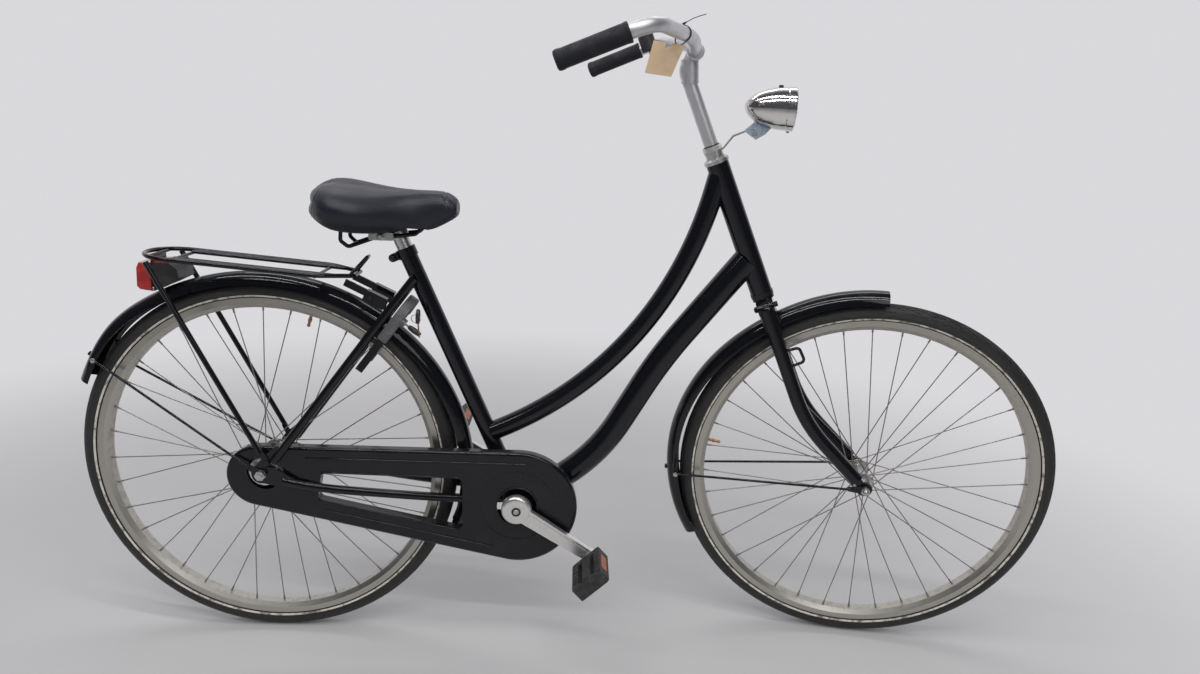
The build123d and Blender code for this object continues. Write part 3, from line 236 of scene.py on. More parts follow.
def turned(name, outline, foot=(0, 0, 0), along=(0, 0, 1), steps=28):
    """A turned piece: (radius, height) points in mm, spun round a line."""
    select_none()
    bpy.ops.mesh.primitive_circle_add(vertices=len(outline), radius=0.01, location=(0, 0, 0))
    piece = bpy.context.object
    piece.name = name
    for vertex, (radius, height) in zip(piece.data.vertices, outline):
        vertex.co = (radius / 1000, 0, height / 1000)
    open_whole()
    bpy.ops.mesh.spin(steps=steps, angle=math.tau, center=(0, 0, 0), axis=(0, 0, 1))
    bpy.ops.mesh.select_all(action="SELECT")
    bpy.ops.mesh.remove_doubles(threshold=1e-6)
    bpy.ops.mesh.delete_loose()
    bpy.ops.mesh.select_all(action="SELECT")
    bpy.ops.mesh.normals_make_consistent(inside=False)
    close()
    stand(piece, foot, along)
    soften(35)
    return piece


def hexagon(name, across, height, foot, along, dish=0.0):
    """A hexagon head or nut in mm: its top edge chamfered, its face inset and dished."""
    select_none()
    bpy.ops.mesh.primitive_cylinder_add(vertices=6, radius=across / 1000 / math.sqrt(3),
                                        depth=height / 1000, location=(0, 0, 0))
    piece = bpy.context.object
    piece.name = name
    pick(piece, lambda centre, normal: normal.z > 0.9)
    bpy.ops.mesh.inset(thickness=across / 14000, depth=across / 18000)
    bpy.ops.mesh.inset(thickness=across / 7000, depth=-dish / 1000)
    close()
    stand(piece, Vector(foot) + Vector(along).normalized() * height / 2000, along, 0.3)
    return piece


def fit(piece, finish, body):
    """Finishes a new piece and lets it ride on its body."""
    piece.data.materials.clear()
    piece.data.materials.append(finish.material)
    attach(piece, body)


def plated_finish(name, color, roughness, stain_share):
    steel = Finish(name, color, roughness, Metallic=1.0)
    stain = steel.spread(steel.cloud(420, 4.0), 0.58, 0.72) * stain_share
    steel.paint(Base_Color=steel.layer(stain, color, (0.12, 0.065, 0.035)),
                Roughness=roughness + steel.cloud(75) * 0.14 + stain * 0.4,
                Metallic=1.0 - stain * 0.8)
    steel.relief(steel.cloud(320), 0.001 * roughness, 0.12)
    return steel


low, high = (Vector(corner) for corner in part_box("rear_rim"))
rear_hub = (low + high) / 2


def from_hub(x, y, z):
    """A place in millimetres from the middle of the rear hub."""
    return rear_hub + Vector((x, y, z)) / 1000


zinc = plated_finish("zinc_plate", (0.56, 0.555, 0.54), 0.27, 0.5)
screw_black = plated_finish("blackened_screw", (0.06, 0.06, 0.062), 0.38, 0.3)
fit(hexagon("seat_collar_bolt", 10, 5, from_hub(243.1, -8, 405.5), (0, -1, 0), 0.8),
    screw_black, "frame")
fit(hexagon("seat_collar_nut", 10, 6, from_hub(243.1, 8, 405.5), (0, 1, 0), -1.2),
    screw_black, "frame")
CRANK_X, CRANK_Z = 476, -60
fit(turned("bracket_lock_ring", [(12, 0), (21, 0), (21.5, 0.6), (21.5, 3.2), (20.8, 4), (12, 4)],
           from_hub(CRANK_X, 36.8, CRANK_Z), (0, 1, 0), 36), zinc, "frame")
dress(zinc, "rear_axle", "front_axle", "headset_nut")

cups = plated_finish("headset_cup_plate", (0.56, 0.555, 0.54), 0.27, 0.5)
# Above this height the cups are plated. Below it they are near-black and unplated, so they are darker
# towards the bottom.
upper_cup = cups.spread(cups.axis(cups.place, "Z"), -0.08, -0.07)
cups.paint(Base_Color=cups.layer(upper_cup, (0.006, 0.0062, 0.0085), cups.color),
           Metallic=upper_cup)
dress(cups, "headset_cups")

# ------------------------------ chain case
# The chain case is pressed from steel sheet in two halves and enamelled, with rolled beads
# along its runs and round its window. Feet and trouser legs have scuffed fine arcs into its
# face around the crank.

def around(finish, middle, turn=(0, 0, 0)):
    """The distance from an axle, the angle round it and the place along it."""
    spot = finish.node("ShaderNodeMapping", {"vector_type": "TEXTURE"},
                       {"Vector": finish.place, "Location": middle, "Rotation": turn})
    across, height = finish.axis(spot, "X"), finish.axis(spot, "Z")
    distance = finish.node("ShaderNodeMath", {"operation": "SQRT"},
                           {0: across * across + height * height})
    angle = finish.node("ShaderNodeMath", {"operation": "ARCTAN2"}, {0: height, 1: across})
    return distance, angle, finish.axis(spot, "Y")


def arcs(finish, distance, angle, scale):
    """Noise drawn out along circles round an axle."""
    spot = finish.node("ShaderNodeCombineXYZ", {}, {"X": distance, "Y": angle * 0.02})
    return finish.cloud(scale, 2.0, spot)


case_enamel = Finish("case_enamel", (0.005, 0.0052, 0.0068), 0.15, Specular_IOR_Level=0.32,
                     Coat_Weight=0.15, Coat_Roughness=0.03)
distance, angle, _ = around(case_enamel, from_hub(CRANK_X, 0, CRANK_Z))
scuffs = case_enamel.spread(arcs(case_enamel, distance, angle, 620), 0.6, 0.7)
scuffs = scuffs * case_enamel.spread(distance, 0.04, 0.055)
scuffs = scuffs * (1.0 - case_enamel.spread(distance, 0.09, 0.118))
dust = case_enamel.spread(case_enamel.axis(case_enamel.facing, "Z"), 0.3, 1.0)
dust = dust * case_enamel.spread(case_enamel.cloud(45), 0.3, 0.7) * 0.08
grime = case_enamel.spread(case_enamel.cloud(17, 5.0), 0.5, 0.72) * 0.02
case_enamel.paint(Base_Color=case_enamel.layer(dust + grime + scuffs * 0.05, case_enamel.color,
                                               (0.2, 0.193, 0.178)),
                  Roughness=0.14 + dust + grime * 1.5 + scuffs * 0.22)
case_enamel.relief(case_enamel.cloud(70, 2.0), 0.001, 0.07)
dress(case_enamel, "chain_case")

CASE_FACE_Y = -56.4
for name, start, end, radius in (("case_bead_upper", (80, 30.5), (494, 27), 2.1),
                                 ("case_bead_lower", (110, -76), (430, -146), 2.1),
                                 ("case_window_edge_top_rear", (108, 2.4), (258, -0.6), 1.6),
                                 ("case_window_edge_top_front", (258, -0.6), (366, -2.6), 1.6),
                                 ("case_window_edge_low_rear", (100, -54), (203, -77), 1.6),
                                 ("case_window_edge_low_front", (203, -77), (366, -111.7), 1.6)):
    line = Vector((end[0] - start[0], 0, end[1] - start[1]))
    length = line.length
    rod = [(0, 0), (radius * 0.7, 0.3 * radius), (radius, radius), (radius, length - radius),
           (radius * 0.7, length - 0.3 * radius), (0, length)]
    fit(turned(name, rod, from_hub(start[0], CASE_FACE_Y, start[1]), line, 16), case_enamel,
        "frame")

# ------------------------------ mudguards
# Each mudguard is rolled from steel sheet and enamelled, and carried by wire stays. A small
# hexagon bolt through its crown holds the stays' bridge, and round screws hold their ends.

guard_enamel = enamel_finish("guard_enamel", 0.09)
dress(guard_enamel, "rear_mudguard", "front_mudguard")
dress(enamel, "rear_mudguard_stays", "front_mudguard_stays")

joints = {joint["name"]: joint for joint in frame["record"]["behaviour"]["joints"]}
steer_up = Vector(joints["steering"]["axis"]).normalized()
steer_left = Vector(joints["front_wheel_spin"]["axis"]).normalized()
steer_ahead = steer_left.cross(steer_up)
steer_pivot = Vector(joints["steering"]["pos_m"])
front_hub = Vector(joints["front_wheel_spin"]["pos_m"])


def steered(u, v, w):
    """A place on what steers: millimetres ahead, left and up the steering axis."""
    return steer_pivot + (steer_ahead * u + steer_left * v + steer_up * w) / 1000


def on_rear_wheel(degrees, radius, y):
    turn = math.radians(degrees)
    return from_hub(radius * math.cos(turn), y, radius * math.sin(turn))


def on_front_wheel(degrees, radius, y):
    turn = math.radians(degrees)
    return front_hub + (steer_ahead * radius * math.cos(turn) + steer_up * radius * math.sin(turn)
                        + steer_left * y) / 1000


SIDES = ((-1, "right"), (1, "left"))
for name, body, place, hub, left, degrees, crown, end_angle, end_radius in (
        ("rear", "frame", on_rear_wheel, rear_hub, Vector((0, 1, 0)), 147.4, 382.4, 146.2, 364.3),
        ("front", "steering", on_front_wheel, front_hub, steer_left, 159.6, 381.6, 160.0, 363.0)):
    outward = place(degrees, crown, 0) - hub
    fit(hexagon(name + "_guard_bolt", 8, 4.6, place(degrees, crown, 0), outward, 0.6),
        screw_black, body)
    for side, word in SIDES:
        screw = [(0, 0), (4.6, 0), (4.8, 1.2), (3.9, 2.9), (1.8, 3.5), (1.3, 2.7), (0, 2.7)]
        fit(turned(name + "_guard_screw_" + word, screw, place(end_angle, end_radius, side * 30.2),
                   left * side), zinc, body)

# ------------------------------ carrier
# The carrier is welded from steel rod and enamelled. Flat struts clamp it to the seat stays
# with a round-headed screw through each block.

dress(guard_enamel, "carrier_deck")
dress(enamel, "carrier_stays", "carrier_struts")
for side, word in SIDES:
    screw = [(0, 0), (5.2, 0), (5.4, 1), (4.2, 3), (2.2, 3.6), (1.8, 2.4), (0, 2.4)]
    fit(turned("carrier_clamp_screw_" + word, screw, from_hub(207, side * 37, 337), (0, side, 0)),
        screw_black, "frame")

# ------------------------------ rear light
# The rear light has a moulded red lens, ribbed inside across its whole back and with a panel
# of small prisms, and a red roof over its body. The body is grained black plastic, and two
# screws hold it to the plate.

lens = Finish("red_lens", (0.43, 0.02, 0.016), 0.16, Coat_Weight=0.6, Coat_Roughness=0.05,
              Transmission_Weight=0.12, IOR=1.49)
ribs = lens.node("ShaderNodeMath", {"operation": "SINE"}, {0: lens.axis(lens.place, "Z") * 2100})
prisms = lens.node("ShaderNodeTexVoronoi", {"distance": "CHEBYCHEV"},
                   {"Vector": lens.place, "Scale": 330})
panel = 1.0 - lens.spread(abs(lens.axis(lens.place, "Z") + 0.171), 0.009, 0.0095)
lens.paint(Base_Color=lens.layer(panel * (prisms * 0.9 + 0.1), lens.color,
                                 (0.24, 0.008, 0.007)),
           Roughness=0.14 + lens.cloud(120) * 0.12)
lens.relief(ribs * (1.0 - panel) * 0.5 + prisms * panel, 0.0008, 0.5)
dress(lens, "rear_light_lens")

moulded = Finish("moulded_plastic", (0.022, 0.022, 0.023), 0.42)
pores = moulded.cloud(1300, 1.0)
wear = moulded.spread(moulded.cloud(60), 0.5, 0.8)
moulded.paint(Base_Color=moulded.layer(wear * 0.25, moulded.color, (0.09, 0.09, 0.088)),
              Roughness=0.36 + wear * 0.2 + pores * 0.1)
moulded.relief(pores, 0.0003, 0.35)
dress(moulded, "rear_light_housing", "bell")


def block(name, size, cuts=()):
    """A block at the origin, its size in mm, cut through at heights in metres for shaping."""
    select_none()
    bpy.ops.mesh.primitive_cube_add(size=0.001, location=(0, 0, 0))
    piece = bpy.context.object
    piece.name = name
    open_whole()
    bpy.ops.transform.resize(value=size)
    for height in cuts:
        bpy.ops.mesh.select_all(action="SELECT")
        bpy.ops.mesh.bisect(plane_co=(0, 0, height), plane_no=(0, 0, 1))
    close()
    return piece


def work(piece, kind, **settings):
    """Gives the active piece a modifier with its settings, and applies it."""
    modifier = piece.modifiers.new(kind.lower(), kind)
    for setting, value in settings.items():
        setattr(modifier, setting, value)
    bpy.ops.object.modifier_apply(modifier=modifier.name)


lens_roof = block("rear_light_lens_roof", (30, 52, 2.4))
pick(lens_roof, lambda centre, normal: normal.z > 0.9)
bpy.ops.mesh.inset(thickness=0.003, depth=0.0008)
close()
work(lens_roof, "BEVEL", width=0.0008, segments=2)
stand(lens_roof, from_hub(-163, 0, 388.4), (0, 0, 1))
fit(lens_roof, lens, "frame")
for side, word in SIDES:
    screw = [(0, 0), (3.4, 0), (3.4, 1.2), (2.4, 2.2), (1, 2.4), (0.8, 1.4), (0, 1.4)]
    fit(turned("rear_light_screw_" + word, screw, from_hub(-178.8, side * 30.6, 341), (1, 0, 0)),
        zinc, "frame")

# ------------------------------ ring lock
# The ring lock's arms are black lacquered steel and its cover is grained grey plastic. The
# brass key stands in a plated cylinder, and its twin hangs from it on a split ring. Both keys
# have moulded black heads.

lacquer = plated_finish("lock_lacquer", (0.035, 0.035, 0.037), 0.34, 0.25)
dress(lacquer, "ring_lock", "saddle_frame")
lock_shell = Finish("lock_shell", (0.088, 0.088, 0.092), 0.4)
grain = lock_shell.cloud(1100, 2.0)
wear = lock_shell.spread(lock_shell.cloud(80), 0.52, 0.75)
lock_shell.paint(Base_Color=lock_shell.layer(wear * 0.3, lock_shell.color, (0.2, 0.2, 0.2)),
                 Roughness=0.34 + wear * 0.2 + grain * 0.12)
lock_shell.relief(grain, 0.0004, 0.3)
dress(lock_shell, "ring_lock_cover")

lock_face = Vector((0.8, 0, -0.6))
cylinder = from_hub(268, -36, 290)
fit(turned("lock_cylinder_rim", [(6, 0), (8.2, 0), (8.3, 0.9), (7.6, 1.6), (6.4, 1.6), (6, 0.8)],
           cylinder, lock_face), zinc, "frame")
brass = plated_finish("key_brass", (0.55, 0.36, 0.16), 0.34, 0.6)


def key(name, foot, along, length):
    """A flat key blade with cuts along one edge, stretched and cut from a thin block."""
    blade = block(name, (6.4, 2.0, length), [(share - 0.5) * length / 1000
                                             for share in (0.2, 0.34, 0.48, 0.62, 0.76, 0.9)])
    for number, vertex in enumerate(sorted((v for v in blade.data.vertices if v.co.x > 0),
                                           key=lambda v: v.co.z)):
        vertex.co.x -= (0.0, 0.0, 0.0009, 0.0009, 0.0003, 0.0003)[number % 6]
    pick(blade, lambda centre, normal: abs(normal.y) > 0.9)
    bpy.ops.mesh.inset(thickness=0.0006, depth=-0.0004)
    close()
    stand(blade, Vector(foot) + Vector(along).normalized() * length / 2000, along)
    return blade


def key_head(name, foot, along):
    """A moulded oval head: a flat cylinder squeezed to shape and rounded, with a sunk panel."""
    select_none()
    bpy.ops.mesh.primitive_cylinder_add(vertices=24, radius=0.0105, depth=0.005, location=(0, 0, 0),
                                        rotation=(math.radians(90), 0, 0))
    head = bpy.context.object
    head.name = name
    bpy.ops.object.transform_apply(location=True, rotation=True, scale=True)
    pick(head, lambda centre, normal: abs(normal.y) > 0.9)
    bpy.ops.mesh.inset(thickness=0.0018, depth=0.0006)
    bpy.ops.mesh.inset(thickness=0.0008, depth=-0.0006)
    bpy.ops.mesh.select_all(action="SELECT")
    bpy.ops.transform.resize(value=(0.9, 1, 1.3))
    close()
    stand(head, foot, along)
    soften(40)
    return head


fit(key("lock_key_blade", cylinder + lock_face * 0.001, lock_face, 9), brass, "frame")
fit(key_head("lock_key_head", cylinder + lock_face * 0.021, lock_face), moulded, "frame")
spare = from_hub(292.4, -38.5, 305)
fit(key_head("spare_key_head", spare, (-0.05, 0, -1)), moulded, "frame")
fit(key("spare_key_blade", spare + Vector((0, 0, -0.012)), (0.05, 0.02, -1), 27), brass, "frame")
select_none()
bpy.ops.mesh.primitive_torus_add(major_radius=0.0085, minor_radius=0.0007, major_segments=32,
                                 minor_segments=8, location=(0, 0, 0))
split_ring = bpy.context.object
split_ring.name = "key_split_ring"
open_whole()
bpy.ops.transform.resize(value=(1.0, 0.92, 1.5))
close()
stand(split_ring, from_hub(288, -37, 304) + Vector((0, 0, -0.004)), (0.2, 1, 0.15))
bpy.ops.object.shade_smooth()
fit(split_ring, zinc, "frame")

# ------------------------------ seat post and clamp
# The seat post is drawn steel tube, chromed and rubbed dull, and the clamp is pressed steel
# with a through bolt and a nut at each end that pinch the saddle's two wire rails.

chrome = plated_finish("worn_chrome", (0.64, 0.635, 0.62), 0.17, 0.35)
dress(chrome, "seat_post")
dress(zinc, "saddle_clamp")
for side, word in SIDES:
    fit(hexagon("saddle_clamp_nut_" + word, 12, 6, from_hub(228, side * 28.1, 447), (0, side, 0), -1.5),
        zinc, "frame")

# ------------------------------ saddle
# The saddle is foam on a plastic base under a sewn black vinyl cover: wide and full behind,
# with a nose panel joined on by a seam, and a welt where the cover turns under the base.

vinyl = Finish("saddle_vinyl", (0.0095, 0.011, 0.0175), 0.36, Specular_IOR_Level=0.4)
pebbles = vinyl.node("ShaderNodeTexVoronoi", {"feature": "SMOOTH_F1"},
                     {"Vector": vinyl.place, "Scale": 720, "Smoothness": 0.6})
folds = vinyl.cloud(150, 4.0)
sat_on = vinyl.spread(vinyl.axis(vinyl.facing, "Z"), 0.2, 0.9)
sat_on = sat_on * vinyl.spread(vinyl.cloud(30), 0.35, 0.7)
underside = vinyl.spread(vinyl.axis(vinyl.facing, "Z") * -1.0, 0.55, 0.75)
vinyl.paint(Base_Color=vinyl.layer(sat_on * 0.25 + folds * 0.1, vinyl.color, (0.027, 0.031, 0.044)),
            Roughness=0.31 + folds * 0.12 - sat_on * 0.06 + underside * 0.25)
vinyl.relief(pebbles * -1.0 + folds * 0.7, 0.0006, 0.4)

SADDLE_BASE, SADDLE_MIDDLE = 471, 505
NOSE_SEAM, REAR_SEAM = 346, 126
NOSE_START, REAR_START = 330, 150
COVER_PLAY = 0.0015
cover = bpy.data.objects.new("saddle_cover", nodes["saddle"].data.copy())
bpy.context.scene.collection.objects.link(cover)
only(cover)
open_whole()
bpy.ops.mesh.remove_doubles(threshold=1e-5)
close()
cover.data.remesh_voxel_size = 0.005
bpy.ops.object.voxel_remesh()
work(cover, "SMOOTH", factor=0.5, iterations=2)
base_height = from_hub(0, 0, SADDLE_BASE).z
held = cover.vertex_groups.new(name="base")
held.add([v.index for v in cover.data.vertices if v.co.z < base_height], 1.0, "REPLACE")
before = [v.co.copy() for v in cover.data.vertices]
cloth = cover.modifiers.new("padding", "CLOTH")
cloth.settings.use_pressure = True
cloth.settings.uniform_pressure_force = 4.0
cloth.settings.effector_weights.gravity = 0.0
cloth.settings.vertex_group_mass = "base"
cloth.point_cache.frame_end = 20
for number in range(1, 21):
    bpy.context.scene.frame_set(number)
bpy.ops.object.modifier_apply(modifier=cloth.name)
for vertex, was in zip(cover.data.vertices, before):
    moved = vertex.co - was
    if moved.length > COVER_PLAY:
        vertex.co = was + moved.normalized() * COVER_PLAY
bpy.context.scene.frame_set(1)
cover.vertex_groups.clear()
work(cover, "SUBSURF", levels=1, render_levels=1)
for vertex in cover.data.vertices:
    x, _, z = (vertex.co - rear_hub) * 1000
    under = min(1.0, max(0.0, (SADDLE_MIDDLE - z) / 35))
    skirt = max(0.0, 1 - abs(x - 312) / 62)
    vertex.co.z -= 0.0075 * under * skirt * (2 - skirt)
    if x < REAR_START:
        behind = (REAR_START - x) / 45
        vertex.co.x += 0.005 * behind ** 2 * (1 - 2 * min(1.0, abs(z - SADDLE_MIDDLE) / 20))
        vertex.co.z += 0.003 * under * behind
    elif x > NOSE_START:
        vertex.co.x += 0.003 * (x - NOSE_START) / 30
nose, rear_end = from_hub(NOSE_SEAM, 0, 0).x, from_hub(REAR_SEAM, 0, 0).x
for vertex in cover.data.vertices:
    lean = (vertex.co.z - from_hub(0, 0, SADDLE_MIDDLE).z) * 0.35
    for seam, depth in ((nose - lean, 0.0011), (rear_end + lean, 0.0008)):
        away = abs(vertex.co.x - seam)
        if away < 0.005 and vertex.co.z > base_height:
            dip = math.exp(-(away / 0.0013) ** 2) - 0.6 * math.exp(-((away - 0.0034) / 0.0012) ** 2)
            vertex.co -= vertex.normal * depth * dip
bpy.ops.object.shade_smooth()
fit(cover, vinyl, "frame")
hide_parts("saddle")

# ------------------------------ tyres
# Each tyre is black rubber on a woven casing, with a fine road tread of ribs and slanting
# cuts, and a thin cream line moulded round its side. Dust clings to the tread and the side.

wheel_turns = {"rear": Matrix.Identity(3),
               "front": Matrix((steer_ahead, steer_left, steer_up)).transposed()}
hubs = {"rear": rear_hub, "front": front_hub}
TREAD_STEPS = 240
TREAD_ROW = 0.00186
TREAD_INSIDE = 0.3495
CREAM_INSIDE, CREAM_OUTSIDE, CREAM_SIDE = 0.3276, 0.3306, 0.0145


def in_groove(centre, normal):
    """Two ribs round the middle, and cuts that slant away from them on both shoulders."""
    if math.hypot(centre.x, centre.z) < TREAD_INSIDE:
        return False
    row = round(abs(centre.y) / TREAD_ROW - 0.5)
    step = math.floor((math.atan2(centre.z, centre.x) % math.tau) / math.tau * TREAD_STEPS)
    return row == 2 or (row > 2 and (step + row) % 3 == 0)


select_none()
bpy.ops.mesh.primitive_circle_add(vertices=64, radius=0.019, location=(0.337, 0, 0))
tyre_form = bpy.context.object
bpy.ops.object.transform_apply(location=True, rotation=True, scale=True)
for vertex in tyre_form.data.vertices:
    if vertex.co.x < 0.3268:
        vertex.co.y = max(-0.0127, min(0.0127, vertex.co.y))
        vertex.co.x = max(0.3188, vertex.co.x)
open_whole()
bpy.ops.mesh.spin(steps=TREAD_STEPS, angle=math.tau, center=(0, 0, 0), axis=(0, 1, 0))
bpy.ops.mesh.select_all(action="SELECT")
bpy.ops.mesh.remove_doubles(threshold=1e-6)
bpy.ops.mesh.normals_make_consistent(inside=False)
close()
pick(tyre_form, in_groove)
bpy.ops.mesh.inset(thickness=0.00025, depth=-0.0011)
close()
soften(35)

cream = Finish("cream_line", (0.6, 0.57, 0.49), 0.6)
cream.paint(Base_Color=cream.layer(cream.spread(cream.cloud(90, 5.0), 0.45, 0.7), cream.color,
                                   (0.16, 0.145, 0.115)))


def another(form):
    """A copy of a piece, with its own mesh."""
    piece = form.copy()
    piece.data = form.data.copy()
    bpy.context.scene.collection.objects.link(piece)
    return piece


def wheel_copy(form, name, wheel):
    """A copy of a piece modelled round the Y axis at the origin, set in its own wheel."""
    piece = another(form)
    piece.name = name
    only(piece)
    piece.matrix_world = Matrix.Translation(hubs[wheel]) @ wheel_turns[wheel].to_4x4()
    bpy.ops.object.transform_apply(location=True, rotation=True, scale=True)
    return piece


for wheel in ("rear", "front"):
    rubber = Finish(wheel + "_tyre_rubber", (0.0125, 0.0125, 0.013), 0.6)
    distance, angle, _ = around(rubber, hubs[wheel], wheel_turns[wheel].to_euler())
    rings = rubber.node("ShaderNodeMath", {"operation": "SINE"}, {0: distance * 4200})
    road = rubber.spread(distance, 0.346, 0.355) * rubber.spread(rubber.cloud(50, 5.0), 0.3, 0.7)
    flank = 1.0 - rubber.spread(distance, 0.336, 0.35)
    flank = flank * rubber.spread(arcs(rubber, distance, angle, 130), 0.35, 0.7)
    rubber.paint(Base_Color=rubber.layer(road * 0.22 + flank * 0.12 + rubber.cloud(400) * 0.04,
                                         rubber.color, (0.125, 0.112, 0.093)),
                 Roughness=0.5 + road * 0.3 + flank * 0.2)
    rubber.relief(rings * (1.0 - rubber.spread(distance, 0.345, 0.348)) + rubber.cloud(700) * 0.8,
                  0.0005, 0.4)
    tyre = wheel_copy(tyre_form, wheel + "_tyre_tread", wheel)
    fit(tyre, rubber, wheel + "_wheel")
    tyre.data.materials.append(cream.material)
    upright = wheel_turns[wheel].transposed()
    for face in tyre.data.polygons:
        spot = upright @ (face.center - hubs[wheel])
        face.material_index = int(CREAM_INSIDE < math.hypot(spot.x, spot.z) < CREAM_OUTSIDE
                                  and abs(spot.y) > CREAM_SIDE)
    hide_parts(wheel + "_tyre")
bpy.data.objects.remove(tyre_form)

# ------------------------------ rims, spokes and hubs
# The rims are rolled steel, plated and long since dulled, with grime round the spoke holes.
# Plated spokes are screwed into plated nipples, and a copper-coloured valve stands in each
# rim. A pressed zinc cap keeps dust out of the rear hub.

spoke_steel = plated_finish("spoke_steel", (0.34, 0.33, 0.31), 0.4, 0.3)
hub_steel = plated_finish("hub_steel", (0.55, 0.545, 0.525), 0.3, 0.5)
dress(spoke_steel, "rear_spokes", "front_spokes")
dress(hub_steel, "rear_hub", "front_hub")
copper = plated_finish("valve_copper", (0.5, 0.25, 0.15), 0.36, 0.6)
SPOKES = 36
NIPPLE_FOOT = 0.3074


def lacing(flange_radius, flange_y):
    """Where each spoke leaves the rim, and the way it runs from there to its flange."""
    per_side = SPOKES // 2
    for side in (-1, 1):
        for number in range(per_side):
            at_rim = math.tau / per_side * (number + (0.5 if side > 0 else 0))
            lead = 3 if number % 2 == 0 else -3
            at_hub = at_rim + math.tau / per_side * lead
            y = side * (flange_y + (0.0037 if lead > 0 else -0.0026))
            head = Vector((flange_radius * math.cos(at_hub), y, flange_radius * math.sin(at_hub)))
            foot = Vector((NIPPLE_FOOT * math.cos(at_rim), side * 0.0026,
                           NIPPLE_FOOT * math.sin(at_rim)))
            yield foot, head - foot


for wheel, flange_radius, valve_at in (("rear", 0.031, 73.2), ("front", 0.019, 147.4)):
    rim_steel = Finish(wheel + "_rim_steel", (0.5, 0.485, 0.44), 0.3, Metallic=1.0)
    distance, angle, along = around(rim_steel, hubs[wheel], wheel_turns[wheel].to_euler())
    brushed = arcs(rim_steel, distance + along * 0.7, angle, 1500)
    spots = rim_steel.spread(rim_steel.cloud(520, 5.0), 0.58, 0.74)
    well = 1.0 - rim_steel.spread(distance, 0.3065, 0.313)
    grime = well * rim_steel.spread(rim_steel.cloud(95, 4.0), 0.42, 0.72) * 0.35 + spots * 0.25
    rim_steel.paint(Base_Color=rim_steel.layer(grime, rim_steel.color, (0.2, 0.175, 0.14)),
                    Roughness=0.24 + brushed * 0.22 + grime * 0.35, Metallic=1.0 - grime * 0.7)
    rim_steel.relief(brushed, 0.0002, 0.25)
    dress(rim_steel, wheel + "_rim")

    nipples = []
    nipple_form = turned("nipple", [(0, 0), (2.1, 0), (2.1, 2), (1.8, 2.6), (1.7, 9), (1.2, 10.4),
                                    (0, 10.4)], steps=8)
    for foot, along in lacing(flange_radius, 0.03):
        nipple = another(nipple_form)
        stand(nipple, foot, along)
        nipples.append(nipple)
    only(nipples[0])
    for nipple in nipples:
        nipple.select_set(True)
    bpy.ops.object.join()
    nipple_set = wheel_copy(nipples[0], wheel + "_spoke_nipples", wheel)
    fit(nipple_set, spoke_steel, wheel + "_wheel")
    bpy.data.objects.remove(nipples[0])
    bpy.data.objects.remove(nipple_form)

    if wheel == "rear":
        dust_cap = plated_finish("dust_cap_zinc", (0.74, 0.735, 0.71), 0.34, 0.5)
        cap = [(5.6, 0), (28, 0), (28, 1.4), (25.5, 2.6), (23, 2.4), (15, 2.6), (13, 4.2), (5.6, 4.2)]
        fit(turned("rear_hub_dust_cap", cap, from_hub(0, -51.8, 0), (0, -1, 0), 40), dust_cap,
            "rear_wheel")

    turn = math.radians(valve_at)
    inward = Vector((-math.cos(turn), 0, -math.sin(turn)))
    valve = turned("valve", [(0, 0), (4.4, 0), (4.4, 2.2), (2.9, 2.6), (2.9, 9), (3.7, 9.6), (3.7, 14),
                             (2.7, 14.8), (2.7, 21), (3.1, 21.6), (3.1, 24), (1.6, 25.4),
                             (0, 25.4)], inward * -0.3078, inward, 16)
    fit(wheel_copy(valve, wheel + "_valve", wheel), copper, wheel + "_wheel")
    bpy.data.objects.remove(valve)

# ------------------------------ fork and front axle
# The fork's blades are tapered steel tube brazed into a cast crown, all enamelled. A bolt
# through the crown clamps the mudguard, and the axle has a domed nut at each end.

dress(enamel, "fork_crown", "fork_blades")
fit(hexagon("crown_bolt", 10, 5.5, steered(15.5, 0, 363), steer_ahead, 0.8), screw_black, "steering")
fit(hexagon("crown_nut", 10, 6, steered(-15.5, 0, 363), -steer_ahead, -1.6), screw_black, "steering")
for side, word in SIDES:
    cap = [(5.1, 0), (7.8, 0), (7.8, 1.2), (6.6, 1.5), (6.4, 4.4), (4.6, 6.9), (2.2, 8.0), (0, 8.2),
           (0, 5.4), (5.1, 5.4)]
    fit(turned("front_axle_cap_" + word, cap, front_hub + steer_left * side * 0.0643, steer_left * side),
        zinc, "steering")

# ------------------------------ handlebar
# The bar and its stem are aluminium, satin finished along their length, with small stains
# and scratches where hands and bags rub.

satin = Finish("satin_alloy", (0.62, 0.615, 0.63), 0.4, Metallic=0.92)
drawn = satin.cloud(90, 3.0, stretch=(14, 1.2, 14))
stains = satin.spread(satin.cloud(55, 5.0), 0.5, 0.75)
nicks = satin.spread(satin.cloud(650, 2.0), 0.68, 0.74)
satin.paint(Base_Color=satin.layer(stains * 0.25 + nicks * 0.3, satin.color, (0.3, 0.29, 0.28)),
            Roughness=0.36 + drawn * 0.12 + stains * 0.12)
satin.relief(drawn + nicks * -1.0, 0.00008, 0.2)
dress(satin, "handlebar")

# ------------------------------ grips
# Each grip is a moulded rubber sleeve pushed over the bar, with a raised lip in front, a
# closed rounded end, and fine ribs that hold the hand.

BAR_OUT_OF_LINE = 4.4
bar_turn = Matrix.Rotation(math.radians(BAR_OUT_OF_LINE), 3, steer_up)
bar_ahead, bar_left = bar_turn @ steer_ahead, bar_turn @ steer_left


def on_bar(u, v, w):
    """A place on the bar's own axes, which stand a little out of line with the wheel."""
    return steer_pivot + (bar_ahead * u + bar_left * v + steer_up * w) / 1000


